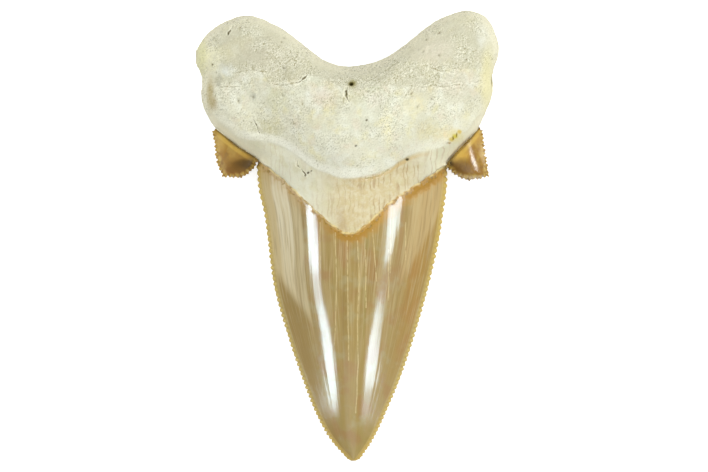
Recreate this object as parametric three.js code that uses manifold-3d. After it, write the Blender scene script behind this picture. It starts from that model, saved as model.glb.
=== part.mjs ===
// Fossil shark tooth, an extinct serrated mackerel-shark kind, in millimetres with +Z up.
//
// It lies on its flatter labial (lip) face with its convex lingual (tongue) face up. +Y runs from the
// tip of the main cusp to the root, and +X is to the right, seen from above. The origin is on the
// resting plane, under the middle of the tooth's length and width.
//
// The tooth grew as one piece, so it is one solid: the enamelled main cusp, a side cusplet at each
// shoulder, and the two-lobed root with its smooth dental band, fused where they grew together.
import * as THREE from 'three';
import { mergeVertices } from 'three/addons/utils/BufferGeometryUtils.js';
import Module from 'manifold-3d';

const wasm = await Module();
wasm.setup();

// Main cusp: its tip, and the two cutting edges as [height above the tip, left X, right X].
const TIP = { x: 0.95, y: -37.55, z: 1.6 };
const CUSP_EDGES = [
  [0, 0.95, 0.95],
  [0.3, 0.1, 1.95],
  [1.3, -0.85, 2.75],
  [4.3, -3.3, 4.65],
  [8.3, -5.4, 6.5],
  [13.3, -7.35, 8.6],
  [21.3, -10.05, 11.3],
  [29.3, -12.25, 13.55],
  [37.3, -13.3, 15.35],
  [41.3, -13.85, 15.95],
  [45.3, -14.75, 16.5],
  [49.6, -15.1, 16.65],
  [55.0, -15.5, 16.9],
];

// Main cusp sections: [height above the tip, crest, cutting edge, labial face, crest roundness]. The
// first three are heights Z. A low roundness gives two flat slopes, and a high one an even dome.
const CUSP_SECTIONS = [
  [0, 1.75, 1.45, 1.1, 0.3],
  [2, 2.4, 1.5, 0.6, 0.28],
  [6, 3.65, 1.6, 0.15, 0.26],
  [12, 5.05, 1.7, 0.0, 0.25],
  [22, 7.0, 1.9, 0.1, 0.36],
  [34, 8.9, 2.3, 0.5, 0.68],
  [48, 10.4, 2.8, 0.95, 1.2],
  [55, 11.0, 3.0, 1.05, 1.4],
];
const LABIAL_ARCH_AT_TIP = 2.4;
const LABIAL_ARCH_AT_BASE = 5.0;
const CUSP_TOP_STATIONS = [-1, -0.93, -0.75, -0.5, -0.28, -0.12, 0, 0.12, 0.28, 0.5, 0.75, 0.93, 1];
const CUSP_BOTTOM_STATIONS = [0.88, 0.72, 0.45, 0.2, -0.2, -0.45, -0.72, -0.88];

// Serrations: one small tooth for every pitch along the cutting edges, finer towards the tip.
const PITCH_AT_BASE = 1.06;
const PITCH_AT_TIP = 0.72;
const SERRATION_DEPTH = 0.2;
const SERRATION_START_Y = 12.0;

// The enamel runs further up on the labial face, and ends there in a shallow curve.
const LABIAL_ENAMEL_Y = 14.2;
const LABIAL_ENAMEL_RISE = 1.2;
const ENAMEL_STEP = 0.3;
const ENAMEL_FADE = 5;
const EDGE_FADE = 0.2;

// Root outline: pairs of points across it, [lower X, lower Y, upper X, upper Y]. The middle pairs start
// on the V of the enamel line, and the others on the root's lower edge above a cusplet.
const ROOT_PAIRS = [
  [-25.2, 29.7, -25.2, 29.7],
  [-25.06, 28.5, -25.03, 31.05],
  [-24.2, 26.2, -23.7, 33.3],
  [-24.3, 23.4, -22.1, 34.7],
  [-23.9, 21.1, -19.8, 35.95],
  [-22.7, 18.7, -17.5, 36.65],
  [-20.6, 16.7, -15.0, 36.45],
  [-17.6, 14.3, -12.0, 35.15],
  [-14.9, 12.6, -9.4, 33.5],
  [-10.8, 9.55, -6.8, 31.4],
  [-6.1, 5.1, -3.9, 29.3],
  [-2.2, 1.7, -1.2, 28.3],
  [0.6, 0.5, 1.2, 28.2],
  [3.3, 2.1, 3.7, 28.7],
  [6.7, 5.3, 6.6, 29.8],
  [11.0, 8.3, 9.6, 31.85],
  [14.9, 10.8, 12.1, 34.0],
  [16.7, 12.1, 13.7, 35.1],
  [19.4, 14.9, 16.4, 36.65],
  [21.9, 18.0, 19.4, 37.53],
  [23.2, 20.9, 21.7, 37.2],
  [24.1, 23.6, 23.5, 36.0],
  [24.05, 26.4, 24.45, 34.2],
  [24.88, 29.3, 25.1, 32.1],
  [25.2, 30.8, 25.2, 30.8],
];
const FIRST_ENAMEL_PAIR = 8;
const LAST_ENAMEL_PAIR = 17;

// Root body: its ridge as [X, height], and how it falls away on both sides of the ridge.
const RIDGE_HEIGHTS = [
  [-26, 8.4],
  [-20, 9.2],
  [-14, 11.0],
  [-7, 13.7],
  [0.6, 15.0],
  [8, 13.6],
  [15, 11.1],
  [20, 9.6],
  [26, 8.7],
];
const RIDGE_MIDDLE_Y = 20.8;
const RIDGE_LOBE_Y = 27.5;
const LOBE_X = 18;
const RIDGE_FALL_MIDDLE = 0.034;
const RIDGE_FALL_LOBE = 0.016;
const BAND_RISE = 0.14;
const BAND_BLEND = 1.6;
const BAND_WALL = 0.16;
const BAND_FOOT = 0.5;
const RIM_SHARE = 0.42;
const TOP_ROUND_LOBE = 5.2;
const TOP_ROUND_SHOULDER = 3.0;
const LABIAL_ROUND = 2.6;
const LUMP_HEIGHT = 0.16;

// The tooth rests on a small flat worn on the labial face of each lobe, and on one under the cusp.
const REST_FLATS = [
  [-17.6, 26.8],
  [17.8, 27.6],
];
const ROOT_HOLLOW = 1.35;
const HOLLOW_RISE = 0.009;
const FLAT_DEPTH = 0.15;

// Side cusplets: the outline with its coarse teeth, from the outer shoulder round to the main cusp.
const LEFT_CUSPLET = [
  [-21.6, 18.4], [-22.7, 17.25], [-22.2, 16.8], [-22.4, 16.1], [-21.95, 15.6], [-22.25, 14.8],
  [-21.8, 14.2], [-22.2, 13.3], [-21.55, 12.85], [-21.95, 12.1], [-21.3, 11.6], [-21.5, 10.95],
  [-20.8, 10.6], [-20.75, 9.75], [-19.85, 9.95], [-19.2, 9.6], [-18.5, 9.85], [-17.85, 9.5],
  [-17.2, 10.05], [-16.6, 10.15], [-16.15, 10.85], [-15.6, 11.1], [-15.2, 12.0], [-14.6, 12.9],
  [-15.4, 15.4], [-18.0, 17.8],
];
const RIGHT_CUSPLET = [
  [21.6, 18.6], [22.5, 17.6], [22.45, 17.0], [22.8, 16.2], [22.45, 15.85], [23.0, 15.3],
  [22.6, 14.8], [23.15, 14.1], [22.75, 13.6], [23.35, 12.9], [23.0, 12.35], [23.55, 11.7],
  [23.15, 11.1], [23.65, 9.95], [22.65, 9.8], [21.95, 9.3], [21.2, 9.6], [20.15, 9.05],
  [19.5, 9.6], [18.85, 9.5], [18.3, 10.15], [17.65, 10.2], [17.25, 10.9], [16.6, 11.2],
  [16.1, 12.2], [16.4, 14.6], [18.6, 17.4],
];
const CUSPLET_RINGS = [1, 0.86, 0.66, 0.42, 0.2];
const CUSPLET_EDGE_Z = 3.5;
const CUSPLET_CREST_Z = 6.6;
const CUSPLET_LABIAL_Z = 1.15;

// Nutrient foramen: the small pit that a blood vessel left in the root.
const FORAMEN = { x: 0.6, y: 25.4, radius: 0.42, depth: 1.6, tilt: 0.5 };

// Fineness of the root's faces.
const RIBS_PER_PAIR = 2.5;
const ROOT_TOP_STEPS = 15;
const ROOT_BOTTOM_STEPS = 9;

function mix(a, b, t) {
  return a + (b - a) * t;
}

function smoothstep(t) {
  const u = Math.min(1, Math.max(0, t));
  return u * u * (3 - 2 * u);
}

function smoothMax(a, b, width) {
  const u = Math.min(1, Math.max(0, 0.5 + (a - b) / (2 * width)));
  return mix(b, a, u) + width * u * (1 - u);
}

// A quarter ellipse: 0 at the rim with an upright tangent, 1 from one radius inwards.
function roundOff(distance, radius) {
  const u = 1 - Math.min(1, Math.max(0, distance / radius));
  return Math.sqrt(1 - u * u);
}

// A smooth curve through rows of [position, value, value, ...], read at any position.
function curveThrough(rows) {
  const slope = (i, k) => {
    const before = rows[Math.max(0, i - 1)];
    const after = rows[Math.min(rows.length - 1, i + 1)];
    return (after[k] - before[k]) / (after[0] - before[0]);
  };
  return (position, k = 1) => {
    const last = rows.length - 2;
    let i = 0;
    while (i < last && position > rows[i + 1][0]) i += 1;
    const span = rows[i + 1][0] - rows[i][0];
    const t = Math.min(1, Math.max(0, (position - rows[i][0]) / span));
    const bend = t * t * (3 - 2 * t);
    return rows[i][k] * (1 - bend) + rows[i + 1][k] * bend
      + span * t * (1 - t) * ((1 - t) * slope(i, k) - t * slope(i + 1, k));
  };
}

const byRootOfHeight = (row) => [Math.sqrt(row[0]), ...row.slice(1)];
const edgeCurve = curveThrough(CUSP_EDGES.map(byRootOfHeight));
const sectionCurve = curveThrough(CUSP_SECTIONS.map(byRootOfHeight));
const ridgeCurve = curveThrough(RIDGE_HEIGHTS);

// The cusp's edges and heights at one Y. The square root rounds the tip.
function cuspSection(y) {
  const along = Math.sqrt(Math.max(0, y - TIP.y));
  const up = (y - TIP.y) / (SERRATION_START_Y - TIP.y);
  const left = edgeCurve(along, 1);
  const right = edgeCurve(along, 2);
  return {
    middle: (left + right) / 2,
    half: (right - left) / 2,
    crest: sectionCurve(along, 1),
    edge: sectionCurve(along, 2),
    labial: sectionCurve(along, 3),
    roundness: sectionCurve(along, 4),
    labialArch: mix(LABIAL_ARCH_AT_TIP, LABIAL_ARCH_AT_BASE, up),
  };
}

// A rounded crest between two slopes that get steeper all the way to the cutting edges.
function cuspTop(section, across) {
  const k = section.roundness;
  const fall = (Math.sqrt(across * across + k * k) - k) / (Math.sqrt(1 + k * k) - k);
  return mix(section.crest, section.edge, fall);
}

function cuspBottom(section, across) {
  const rise = Math.pow(Math.abs(across), section.labialArch);
  const z = section.labial + (section.edge - section.labial) * rise;
  return Math.max(0, z - FLAT_DEPTH);
}

// A height of the cusp at any X and Y, by the height function of one of its two faces.
function cuspAt(x, y, height) {
  const section = cuspSection(y);
  const across = Math.min(1, Math.abs(x - section.middle) / section.half);
  return height(section, across);
}

// Soft lumps of the root, in whole waves of about 7 to 13 mm.
function lumps(x, y) {
  const first = Math.sin(x * 0.52 + 0.4) * Math.sin(y * 0.61 + 1.1);
  const second = Math.sin(x * 0.83 - y * 0.47 + 2.0);
  return LUMP_HEIGHT * (first + 0.6 * second);
}

const lowerEdge = new THREE.SplineCurve(ROOT_PAIRS.map((p) => new THREE.Vector2(p[0], p[1])));
const upperEdge = new THREE.SplineCurve(ROOT_PAIRS.map((p) => new THREE.Vector2(p[2], p[3])));
const LAST_PAIR = ROOT_PAIRS.length - 1;

function edgePoints(edge, from, to) {
  const count = Math.round((to - from) * RIBS_PER_PAIR * 2);
  const points = [];
  for (let i = 0; i <= count; i += 1) {
    points.push(edge.getPoint(mix(from, to, i / count) / LAST_PAIR));
  }
  return points;
}

const freeEdges = [
  edgePoints(lowerEdge, 0, FIRST_ENAMEL_PAIR),
  edgePoints(lowerEdge, LAST_ENAMEL_PAIR, LAST_PAIR),
  edgePoints(upperEdge, 0, LAST_PAIR),
];

function distanceToSegment(x, y, a, b) {
  const dx = b.x - a.x;
  const dy = b.y - a.y;
  const length = dx * dx + dy * dy;
  const t = length > 0 ? ((x - a.x) * dx + (y - a.y) * dy) / length : 0;
  const u = Math.min(1, Math.max(0, t));
  return Math.hypot(x - a.x - u * dx, y - a.y - u * dy);
}

// Distance from a point to the root's free outline, leaving out the V of the enamel line.
function distanceToRim(x, y) {
  let nearest = Infinity;
  for (const points of freeEdges) {
    for (let i = 1; i < points.length; i += 1) {
      nearest = Math.min(nearest, distanceToSegment(x, y, points[i - 1], points[i]));
    }
  }
  return nearest;
}

// Height of the root's body before its rim is rounded off.
function rootBody(x, y) {
  const out = smoothstep(Math.abs(x) / LOBE_X);
  const fall = mix(RIDGE_FALL_MIDDLE, RIDGE_FALL_LOBE, out);
  const offRidge = y - mix(RIDGE_MIDDLE_Y, RIDGE_LOBE_Y, out);
  const ridge = ridgeCurve(x) - fall * offRidge * offRidge;
  return smoothMax(ridge + lumps(x, y), cuspAt(x, y, cuspTop) + BAND_RISE, BAND_BLEND);
}

function rootTop(x, y, rimDistance) {
  const body = rootBody(x, y);
  const radius = mix(TOP_ROUND_SHOULDER, TOP_ROUND_LOBE, smoothstep((y - 15) / 8));
  return mix(body * RIM_SHARE, body, roundOff(rimDistance, radius));
}

function rootBottom(x, y, rimDistance) {
  const reach = Math.min(...REST_FLATS.map((flat) => Math.hypot(x - flat[0], y - flat[1])));
  const face = Math.min(ROOT_HOLLOW, HOLLOW_RISE * reach * reach);
  const rim = rootBody(x, y) * RIM_SHARE;
  const bone = Math.max(0, mix(rim, face, roundOff(rimDistance, LABIAL_ROUND)) - FLAT_DEPTH);
  const cusp = cuspSection(y);
  const beyondEdge = Math.abs(x - cusp.middle) / cusp.half - 1;
  const fade = smoothstep((y - LABIAL_ENAMEL_Y) / ENAMEL_FADE) + smoothstep(beyondEdge / EDGE_FADE);
  const enamel = cuspAt(x, y, cuspBottom) + ENAMEL_STEP;
  return mix(Math.max(bone, enamel), bone, Math.min(1, fade));
}

// A closed solid from rings of points that run the same way round, capped with one point at each end.
function loft(rings, firstCap, lastCap) {
  const size = rings[0].length;
  const points = [...rings.flat(), firstCap, lastCap];
  const first = points.length - 2;
  const last = points.length - 1;
  const faces = [];
  for (let i = 0; i < size; i += 1) {
    const next = (i + 1) % size;
    const end = (rings.length - 1) * size;
    faces.push([first, next, i], [last, end + i, end + next]);
    for (let r = 0; r < rings.length - 1; r += 1) {
      const low = r * size;
      const high = low + size;
      faces.push([low + i, low + next, high + next], [low + i, high + next, high + i]);
    }
  }
  return toSolid(points, faces);
}

function signedVolume(points, faces) {
  let volume = 0;
  for (const [a, b, c] of faces) {
    const p = new THREE.Vector3(...points[a]);
    const q = new THREE.Vector3(...points[b]);
    volume += p.dot(q.cross(new THREE.Vector3(...points[c]))) / 6;
  }
  return volume;
}

function toSolid(points, faces) {
  const outward = signedVolume(points, faces) > 0;
  const geometry = new THREE.BufferGeometry();
  geometry.setAttribute('position', new THREE.Float32BufferAttribute(points.flat(), 3));
  geometry.setIndex((outward ? faces : faces.map(([a, b, c]) => [a, c, b])).flat());
  const merged = mergeVertices(geometry, 1e-5);
  const mesh = new wasm.Mesh({
    numProp: 3,
    vertProperties: merged.attributes.position.array,
    triVerts: new Uint32Array(merged.index.array),
  });
  mesh.merge();
  return new wasm.Manifold(mesh);
}

// Rows down the main cusp: two for each serration, one in the notch and one on the small tooth.
function serrationRows() {
  const rows = [];
  let y = SERRATION_START_Y;
  while (y > TIP.y + 0.35) {
    rows.push({ y, tooth: rows.length % 2 });
    const above = cuspSection(y);
    const below = cuspSection(y - 0.1);
    const steepness = Math.hypot(1, (above.half - below.half) / 0.1);
    const pitch = mix(PITCH_AT_TIP, PITCH_AT_BASE, (y - TIP.y) / (SERRATION_START_Y - TIP.y));
    y -= pitch / 2 / steepness;
  }
  return rows;
}

function cuspRing(rowY, tooth) {
  const ring = [];
  const section = cuspSection(rowY);
  for (const across of CUSP_TOP_STATIONS) {
    const bump = Math.abs(across) === 1 ? Math.sign(across) * (tooth - 0.5) * SERRATION_DEPTH : 0;
    ring.push([section.middle + across * section.half + bump, rowY, cuspTop(section, across)]);
  }
  for (const across of CUSP_BOTTOM_STATIONS) {
    ring.push([section.middle + across * section.half, rowY, cuspBottom(section, across)]);
  }
  return ring;
}

// The end of the cusp inside the root, which follows the labial enamel line.
function cuspEndRing(share) {
  const stations = [...CUSP_TOP_STATIONS, ...CUSP_BOTTOM_STATIONS];
  return stations.map((across, i) => {
    const end = LABIAL_ENAMEL_Y + LABIAL_ENAMEL_RISE * across * across;
    const y = mix(SERRATION_START_Y, end, share);
    const section = cuspSection(y);
    const top = i < CUSP_TOP_STATIONS.length;
    const z = top ? cuspTop(section, across) : cuspBottom(section, across);
    return [section.middle + across * section.half, y, z];
  });
}

function makeMainCusp() {
  const rings = serrationRows().map((row) => cuspRing(row.y, row.tooth));
  rings.unshift(cuspEndRing(1), cuspEndRing(0.5));
  const base = cuspSection(LABIAL_ENAMEL_Y);
  return loft(rings, [base.middle, LABIAL_ENAMEL_Y, 5], [TIP.x, TIP.y, TIP.z]);
}

// One ring round the root: over the top from the lower edge to the upper edge, and back below.
function rootRing(place) {
  const low = lowerEdge.getPoint(place / LAST_PAIR);
  const high = upperEdge.getPoint(place / LAST_PAIR);
  const width = low.distanceTo(high);
  const onEnamel = place >= FIRST_ENAMEL_PAIR && place <= LAST_ENAMEL_PAIR;
  const ring = [];
  const at = (share, height) => {
    const x = mix(low.x, high.x, share);
    const y = mix(low.y, high.y, share);
    ring.push([x, y, height(x, y, distanceToRim(x, y))]);
  };
  const rim = (x, y) => rootBody(x, y) * RIM_SHARE;
  const foot = (x, y) => Math.max(rim(x, y), cuspAt(x, y, cuspTop) - BAND_FOOT);
  at(0, onEnamel ? foot : rim);
  for (let i = 1; i < ROOT_TOP_STEPS; i += 1) {
    const spaced = (1 - Math.cos((Math.PI * i) / ROOT_TOP_STEPS)) / 2;
    at(i === 1 && onEnamel ? BAND_WALL / width : spaced, rootTop);
  }
  at(1, rim);
  for (let i = ROOT_BOTTOM_STEPS - 1; i > 0; i -= 1) {
    at((1 - Math.cos((Math.PI * i) / ROOT_BOTTOM_STEPS)) / 2, rootBottom);
  }
  return ring;
}

function makeRoot() {
  const rings = [];
  const count = Math.round(LAST_PAIR * RIBS_PER_PAIR);
  for (let i = 1; i < count; i += 1) {
    rings.push(rootRing((i / count) * LAST_PAIR));
  }
  const cap = ([x, y]) => [x, y, rootBody(x, y) * RIM_SHARE];
  return loft(rings, cap(ROOT_PAIRS[0]), cap(ROOT_PAIRS[LAST_PAIR]));
}

// A small dome on a toothed outline. Only its outermost ring keeps the teeth.
function makeCusplet(outline) {
  const count = outline.length;
  const centre = [0, 1].map((k) => outline.reduce((sum, p) => sum + p[k], 0) / count);
  centre[1] += 1.2;
  const smooth = outline.map((p, i) => {
    const before = outline[(i + count - 1) % count];
    const after = outline[(i + 1) % count];
    return [0, 1].map((k) => (before[k] + 2 * p[k] + after[k]) / 4);
  });
  const ring = (scale, z) => outline.map((p, i) => {
    const from = scale === 1 ? p : smooth[i];
    return [mix(centre[0], from[0], scale), mix(centre[1], from[1], scale), z];
  });
  const top = (scale) => mix(CUSPLET_CREST_Z, CUSPLET_EDGE_Z, Math.pow(scale, 1.7));
  const bottom = (scale) => mix(CUSPLET_LABIAL_Z, CUSPLET_EDGE_Z, Math.pow(scale, 2.6));
  const inner = CUSPLET_RINGS.slice(1);
  const rings = [
    ...inner.map((scale) => ring(scale, top(scale))).reverse(),
    ring(1, CUSPLET_EDGE_Z),
    ...inner.map((scale) => ring(scale, bottom(scale))),
  ];
  return loft(rings, [...centre, top(0)], [...centre, bottom(0)]);
}

// A tapered pit, sunk at a slant towards the middle of the root.
function makeForamen() {
  const pit = new THREE.CylinderGeometry(FORAMEN.radius, FORAMEN.radius * 0.4, 2 * FORAMEN.depth, 8);
  pit.rotateX(Math.PI / 2 - FORAMEN.tilt);
  pit.translate(FORAMEN.x, FORAMEN.y, rootBody(FORAMEN.x, FORAMEN.y));
  const positions = Array.from(pit.attributes.position.array);
  const points = positions.flatMap((_, i) => (i % 3 ? [] : [positions.slice(i, i + 3)]));
  const index = Array.from(pit.index.array);
  const faces = index.flatMap((_, i) => (i % 3 ? [] : [index.slice(i, i + 3)]));
  return toSolid(points, faces);
}

function toGeometry(solid) {
  const mesh = solid.getMesh();
  const geometry = new THREE.BufferGeometry();
  geometry.setAttribute('position', new THREE.BufferAttribute(mesh.vertProperties, 3));
  geometry.setIndex(new THREE.BufferAttribute(mesh.triVerts, 1));
  const merged = mergeVertices(geometry, 1e-5);
  merged.computeVertexNormals();
  return merged;
}

function makeTooth() {
  const solid = makeMainCusp()
    .add(makeRoot())
    .add(makeCusplet(LEFT_CUSPLET))
    .add(makeCusplet(RIGHT_CUSPLET))
    .subtract(makeForamen());
  const fossil = new THREE.MeshStandardMaterial({ color: 0xcdb88a, roughness: 0.5, metalness: 0 });
  const tooth = new THREE.Mesh(toGeometry(solid), fossil);
  tooth.name = 'shark_tooth';
  return tooth;
}

const fossilTooth = new THREE.Group();
fossilTooth.name = 'fossil_shark_tooth';
fossilTooth.add(makeTooth());

export default fossilTooth;
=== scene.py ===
"""Fossil shark tooth, lying on its labial face and seen from straight above.

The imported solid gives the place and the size. The tooth is grown again here from the same named values
as a fine mesh, with the serrations, the pores and the cracks of the real one, and gets its three
finishes: glossy enameloid, amber enameloid on the side cusplets, and porous root with a dental band.
Shapes are worked out in millimetres and turned to metres at the end.
"""
import math

import bmesh
import bpy
import numpy as np
from mathutils import Matrix, Vector


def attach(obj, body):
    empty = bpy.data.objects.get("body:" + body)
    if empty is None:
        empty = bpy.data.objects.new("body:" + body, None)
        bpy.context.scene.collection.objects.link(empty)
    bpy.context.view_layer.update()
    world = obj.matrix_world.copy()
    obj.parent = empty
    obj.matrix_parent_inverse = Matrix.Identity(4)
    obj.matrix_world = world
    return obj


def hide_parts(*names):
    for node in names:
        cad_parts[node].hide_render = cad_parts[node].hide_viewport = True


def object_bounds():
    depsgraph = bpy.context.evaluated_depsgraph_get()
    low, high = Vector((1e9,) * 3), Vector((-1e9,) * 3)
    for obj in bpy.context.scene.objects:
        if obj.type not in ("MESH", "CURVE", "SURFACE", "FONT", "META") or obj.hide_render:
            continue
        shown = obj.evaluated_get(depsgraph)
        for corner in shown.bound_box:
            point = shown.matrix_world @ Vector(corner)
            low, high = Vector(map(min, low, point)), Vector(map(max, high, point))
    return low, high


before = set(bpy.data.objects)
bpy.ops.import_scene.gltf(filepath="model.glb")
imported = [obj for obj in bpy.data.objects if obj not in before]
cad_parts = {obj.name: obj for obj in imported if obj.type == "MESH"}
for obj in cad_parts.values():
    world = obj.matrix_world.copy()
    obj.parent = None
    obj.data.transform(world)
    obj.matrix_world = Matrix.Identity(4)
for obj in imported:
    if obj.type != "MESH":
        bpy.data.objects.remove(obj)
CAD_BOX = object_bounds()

MM = 0.001

# Every size and place below is in millimetres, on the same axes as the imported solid.

# Main cusp: its tip, and the two cutting edges as [height above the tip, left X, right X].
TIP = (0.95, -37.55, 1.6)
CUSP_EDGES = [
    [0, 0.95, 0.95],
    [0.3, 0.1, 1.95],
    [1.3, -0.85, 2.75],
    [4.3, -3.3, 4.65],
    [8.3, -5.4, 6.5],
    [13.3, -7.35, 8.6],
    [21.3, -10.05, 11.3],
    [29.3, -12.25, 13.55],
    [37.3, -13.3, 15.35],
    [41.3, -13.85, 15.95],
    [45.3, -14.75, 16.5],
    [49.6, -15.1, 16.65],
    [55.0, -15.5, 16.9],
]

# Main cusp sections: [height above the tip, crest, cutting edge, labial face, crest roundness]. The
# first three are heights Z. A low roundness gives two flat slopes, and a high one an even dome.
CUSP_SECTIONS = [
    [0, 1.75, 1.45, 1.1, 0.3],
    [2, 2.4, 1.5, 0.6, 0.28],
    [6, 3.65, 1.6, 0.15, 0.26],
    [12, 5.05, 1.7, 0.0, 0.25],
    [22, 7.0, 1.9, 0.1, 0.36],
    [34, 8.9, 2.3, 0.5, 0.68],
    [48, 10.4, 2.8, 0.95, 1.2],
    [55, 11.0, 3.0, 1.05, 1.4],
]
LABIAL_ARCH_AT_TIP = 2.4
LABIAL_ARCH_AT_BASE = 5.0
CUSP_TOP_STEPS = 52
CUSP_BOTTOM_STEPS = 22
ROWS_PER_SERRATION = 7

# Serrations: one small tooth for every pitch along the cutting edges, finer towards the tip. Its profile
# is between a round and a pointed one, it is 0.5 to 1.3 times the usual size, and the plain edge runs at
# 0.6 of its height.
PITCH_AT_BASE = 1.06
PITCH_AT_TIP = 0.72
SERRATION_START_Y = 12.0
SERRATION_FADE = 4.5
TOOTH_ROUNDING = 0.7
TOOTH_SIZES = (0.5, 1.3)
TOOTH_MIDDLE = 0.6
CUSP_SERRATIONS = {"Depth": 0.32, "Reach": 0.7, "Groove": 0.04, "Pointed": 0.3}
CUSPLET_SERRATIONS = {"Depth": 0.34, "Reach": 0.6, "Groove": 0.05, "Pointed": 0.5}

# The enamel runs further up on the labial face, and ends there in a shallow curve.
LABIAL_ENAMEL_Y = 14.2
LABIAL_ENAMEL_RISE = 1.2
ENAMEL_STEP = 0.3
ENAMEL_FADE = 5
EDGE_FADE = 0.2

# Root outline: pairs of points across it, [lower X, lower Y, upper X, upper Y]. The middle pairs start
# on the V of the enamel line, and the others on the root's lower edge above a cusplet.
ROOT_PAIRS = [
    [-25.2, 29.7, -25.2, 29.7],
    [-25.06, 28.5, -25.03, 31.05],
    [-24.2, 26.2, -23.7, 33.3],
    [-24.3, 23.4, -22.1, 34.7],
    [-23.9, 21.1, -19.8, 35.95],
    [-22.7, 18.7, -17.5, 36.65],
    [-20.6, 16.7, -15.0, 36.45],
    [-17.6, 14.3, -12.0, 35.15],
    [-14.9, 12.6, -9.4, 33.5],
    [-10.8, 9.55, -6.8, 31.4],
    [-6.1, 5.1, -3.9, 29.3],
    [-2.2, 1.7, -1.2, 28.3],
    [0.6, 0.5, 1.2, 28.2],
    [3.3, 2.1, 3.7, 28.7],
    [6.7, 5.3, 6.6, 29.8],
    [11.0, 8.3, 9.6, 31.85],
    [14.9, 10.8, 12.1, 34.0],
    [16.7, 12.1, 13.7, 35.1],
    [19.4, 14.9, 16.4, 36.65],
    [21.9, 18.0, 19.4, 37.53],
    [23.2, 20.9, 21.7, 37.2],
    [24.1, 23.6, 23.5, 36.0],
    [24.05, 26.4, 24.45, 34.2],
    [24.88, 29.3, 25.1, 32.1],
    [25.2, 30.8, 25.2, 30.8],
]
FIRST_ENAMEL_PAIR = 8
LAST_ENAMEL_PAIR = 17
LAST_PAIR = len(ROOT_PAIRS) - 1
POINTS_PER_PAIR = 8
RIBS_PER_PAIR = 13
ROOT_TOP_STEPS = 124
ROOT_BOTTOM_STEPS = 32

# Root body: its ridge as [X, height], and how it falls away on both sides of the ridge.
RIDGE_HEIGHTS = [
    [-26, 8.4],
    [-20, 9.2],
    [-14, 11.0],
    [-7, 13.7],
    [0.6, 15.0],
    [8, 13.6],
    [15, 11.1],
    [20, 9.6],
    [26, 8.7],
]
RIDGE_MIDDLE_Y = 20.8
RIDGE_LOBE_Y = 27.5
LOBE_X = 18
RIDGE_FALL_MIDDLE = 0.034
RIDGE_FALL_LOBE = 0.016
BAND_RISE = 0.1
BAND_BLEND = 1.6
BAND_WALL = 0.06
BAND_FOOT = 0.5
RAGGED = 0.08
RIM_SHARE = 0.42
TOP_ROUND_LOBE = 5.2
TOP_ROUND_SHOULDER = 3.0
SHOULDER_TO_LOBE_Y = (15, 23)
LABIAL_ROUND = 2.6
LUMP_HEIGHT = 0.16

# The tooth rests on a small flat worn on the labial face of each lobe, and on one under the cusp.
REST_FLATS = [
    [-17.6, 26.8],
    [17.8, 27.6],
]
ROOT_HOLLOW = 1.35
HOLLOW_RISE = 0.009
FLAT_DEPTH = 0.15

# Side cusplets: the outline with its coarse teeth, from the outer shoulder to the small apex and on
# along the inner edge to the main cusp. The last points lie hidden in the root.
LEFT_CUSPLET = [
    [-21.6, 18.4], [-22.7, 17.25], [-22.2, 16.8], [-22.4, 16.1], [-21.95, 15.6], [-22.25, 14.8],
    [-21.8, 14.2], [-22.2, 13.3], [-21.55, 12.85], [-21.95, 12.1], [-21.3, 11.6], [-21.5, 10.95],
    [-20.8, 10.6], [-20.75, 9.75], [-19.85, 9.95], [-19.2, 9.6], [-18.5, 9.85], [-17.85, 9.5],
    [-17.2, 10.05], [-16.6, 10.15], [-16.15, 10.85], [-15.6, 11.1], [-15.2, 12.0], [-14.6, 12.9],
    [-15.4, 15.4], [-18.0, 17.8],
]
RIGHT_CUSPLET = [
    [21.6, 18.6], [22.5, 17.6], [22.45, 17.0], [22.8, 16.2], [22.45, 15.85], [23.0, 15.3],
    [22.6, 14.8], [23.15, 14.1], [22.75, 13.6], [23.35, 12.9], [23.0, 12.35], [23.55, 11.7],
    [23.15, 11.1], [23.65, 9.95], [22.65, 9.8], [21.95, 9.3], [21.2, 9.6], [20.15, 9.05],
    [19.5, 9.6], [18.85, 9.5], [18.3, 10.15], [17.65, 10.2], [17.25, 10.9], [16.6, 11.2],
    [16.1, 12.2], [16.4, 14.6], [18.6, 17.4],
]
CUSPLET_APEX = 13
CUSPLET_HIDDEN_POINTS = 3
CUSPLET_EDGE_Z = 3.5
CUSPLET_LABIAL_Z = 1.15
CUSPLET_TEETH_FADE = 0.14
CUSPLET_RINGS = 17
CUSPLET_POINTS_PER_SPAN = 8
CUSPLET_PITCH = 0.65
CUSPLET_COARSE_TEETH = 0.35
CUSPLET_SINK = 1.4
CUSPLET_MIDDLE_SHIFT = (0, 1.2)
CUSPLET_LABIAL_ARCH = 2.6
CUSPLETS_FROM_Y = 8.9

# How a cusplet rises from its outer and its inner edge, [steep rise, reach of it, slope after it], and
# how far the two slopes are blended over the ridge between them.
LEFT_RISES = ([0.55, 0.8, 0.2], [0.9, 0.6, 0.4], 0.8)
RIGHT_RISES = ([4.2, 3.0, 0.0], [1.3, 0.6, 0.5], 2.1)

# Nutrient foramen: the small pit where a blood vessel went into the root.
FORAMEN = (0.66, 24.9)
FORAMEN_RADIUS = 0.38
FORAMEN_END_RADIUS = 0.16
FORAMEN_DEPTH = 1.0
FORAMEN_TILT = 0.5
FORAMEN_REACH = 1.4

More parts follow.
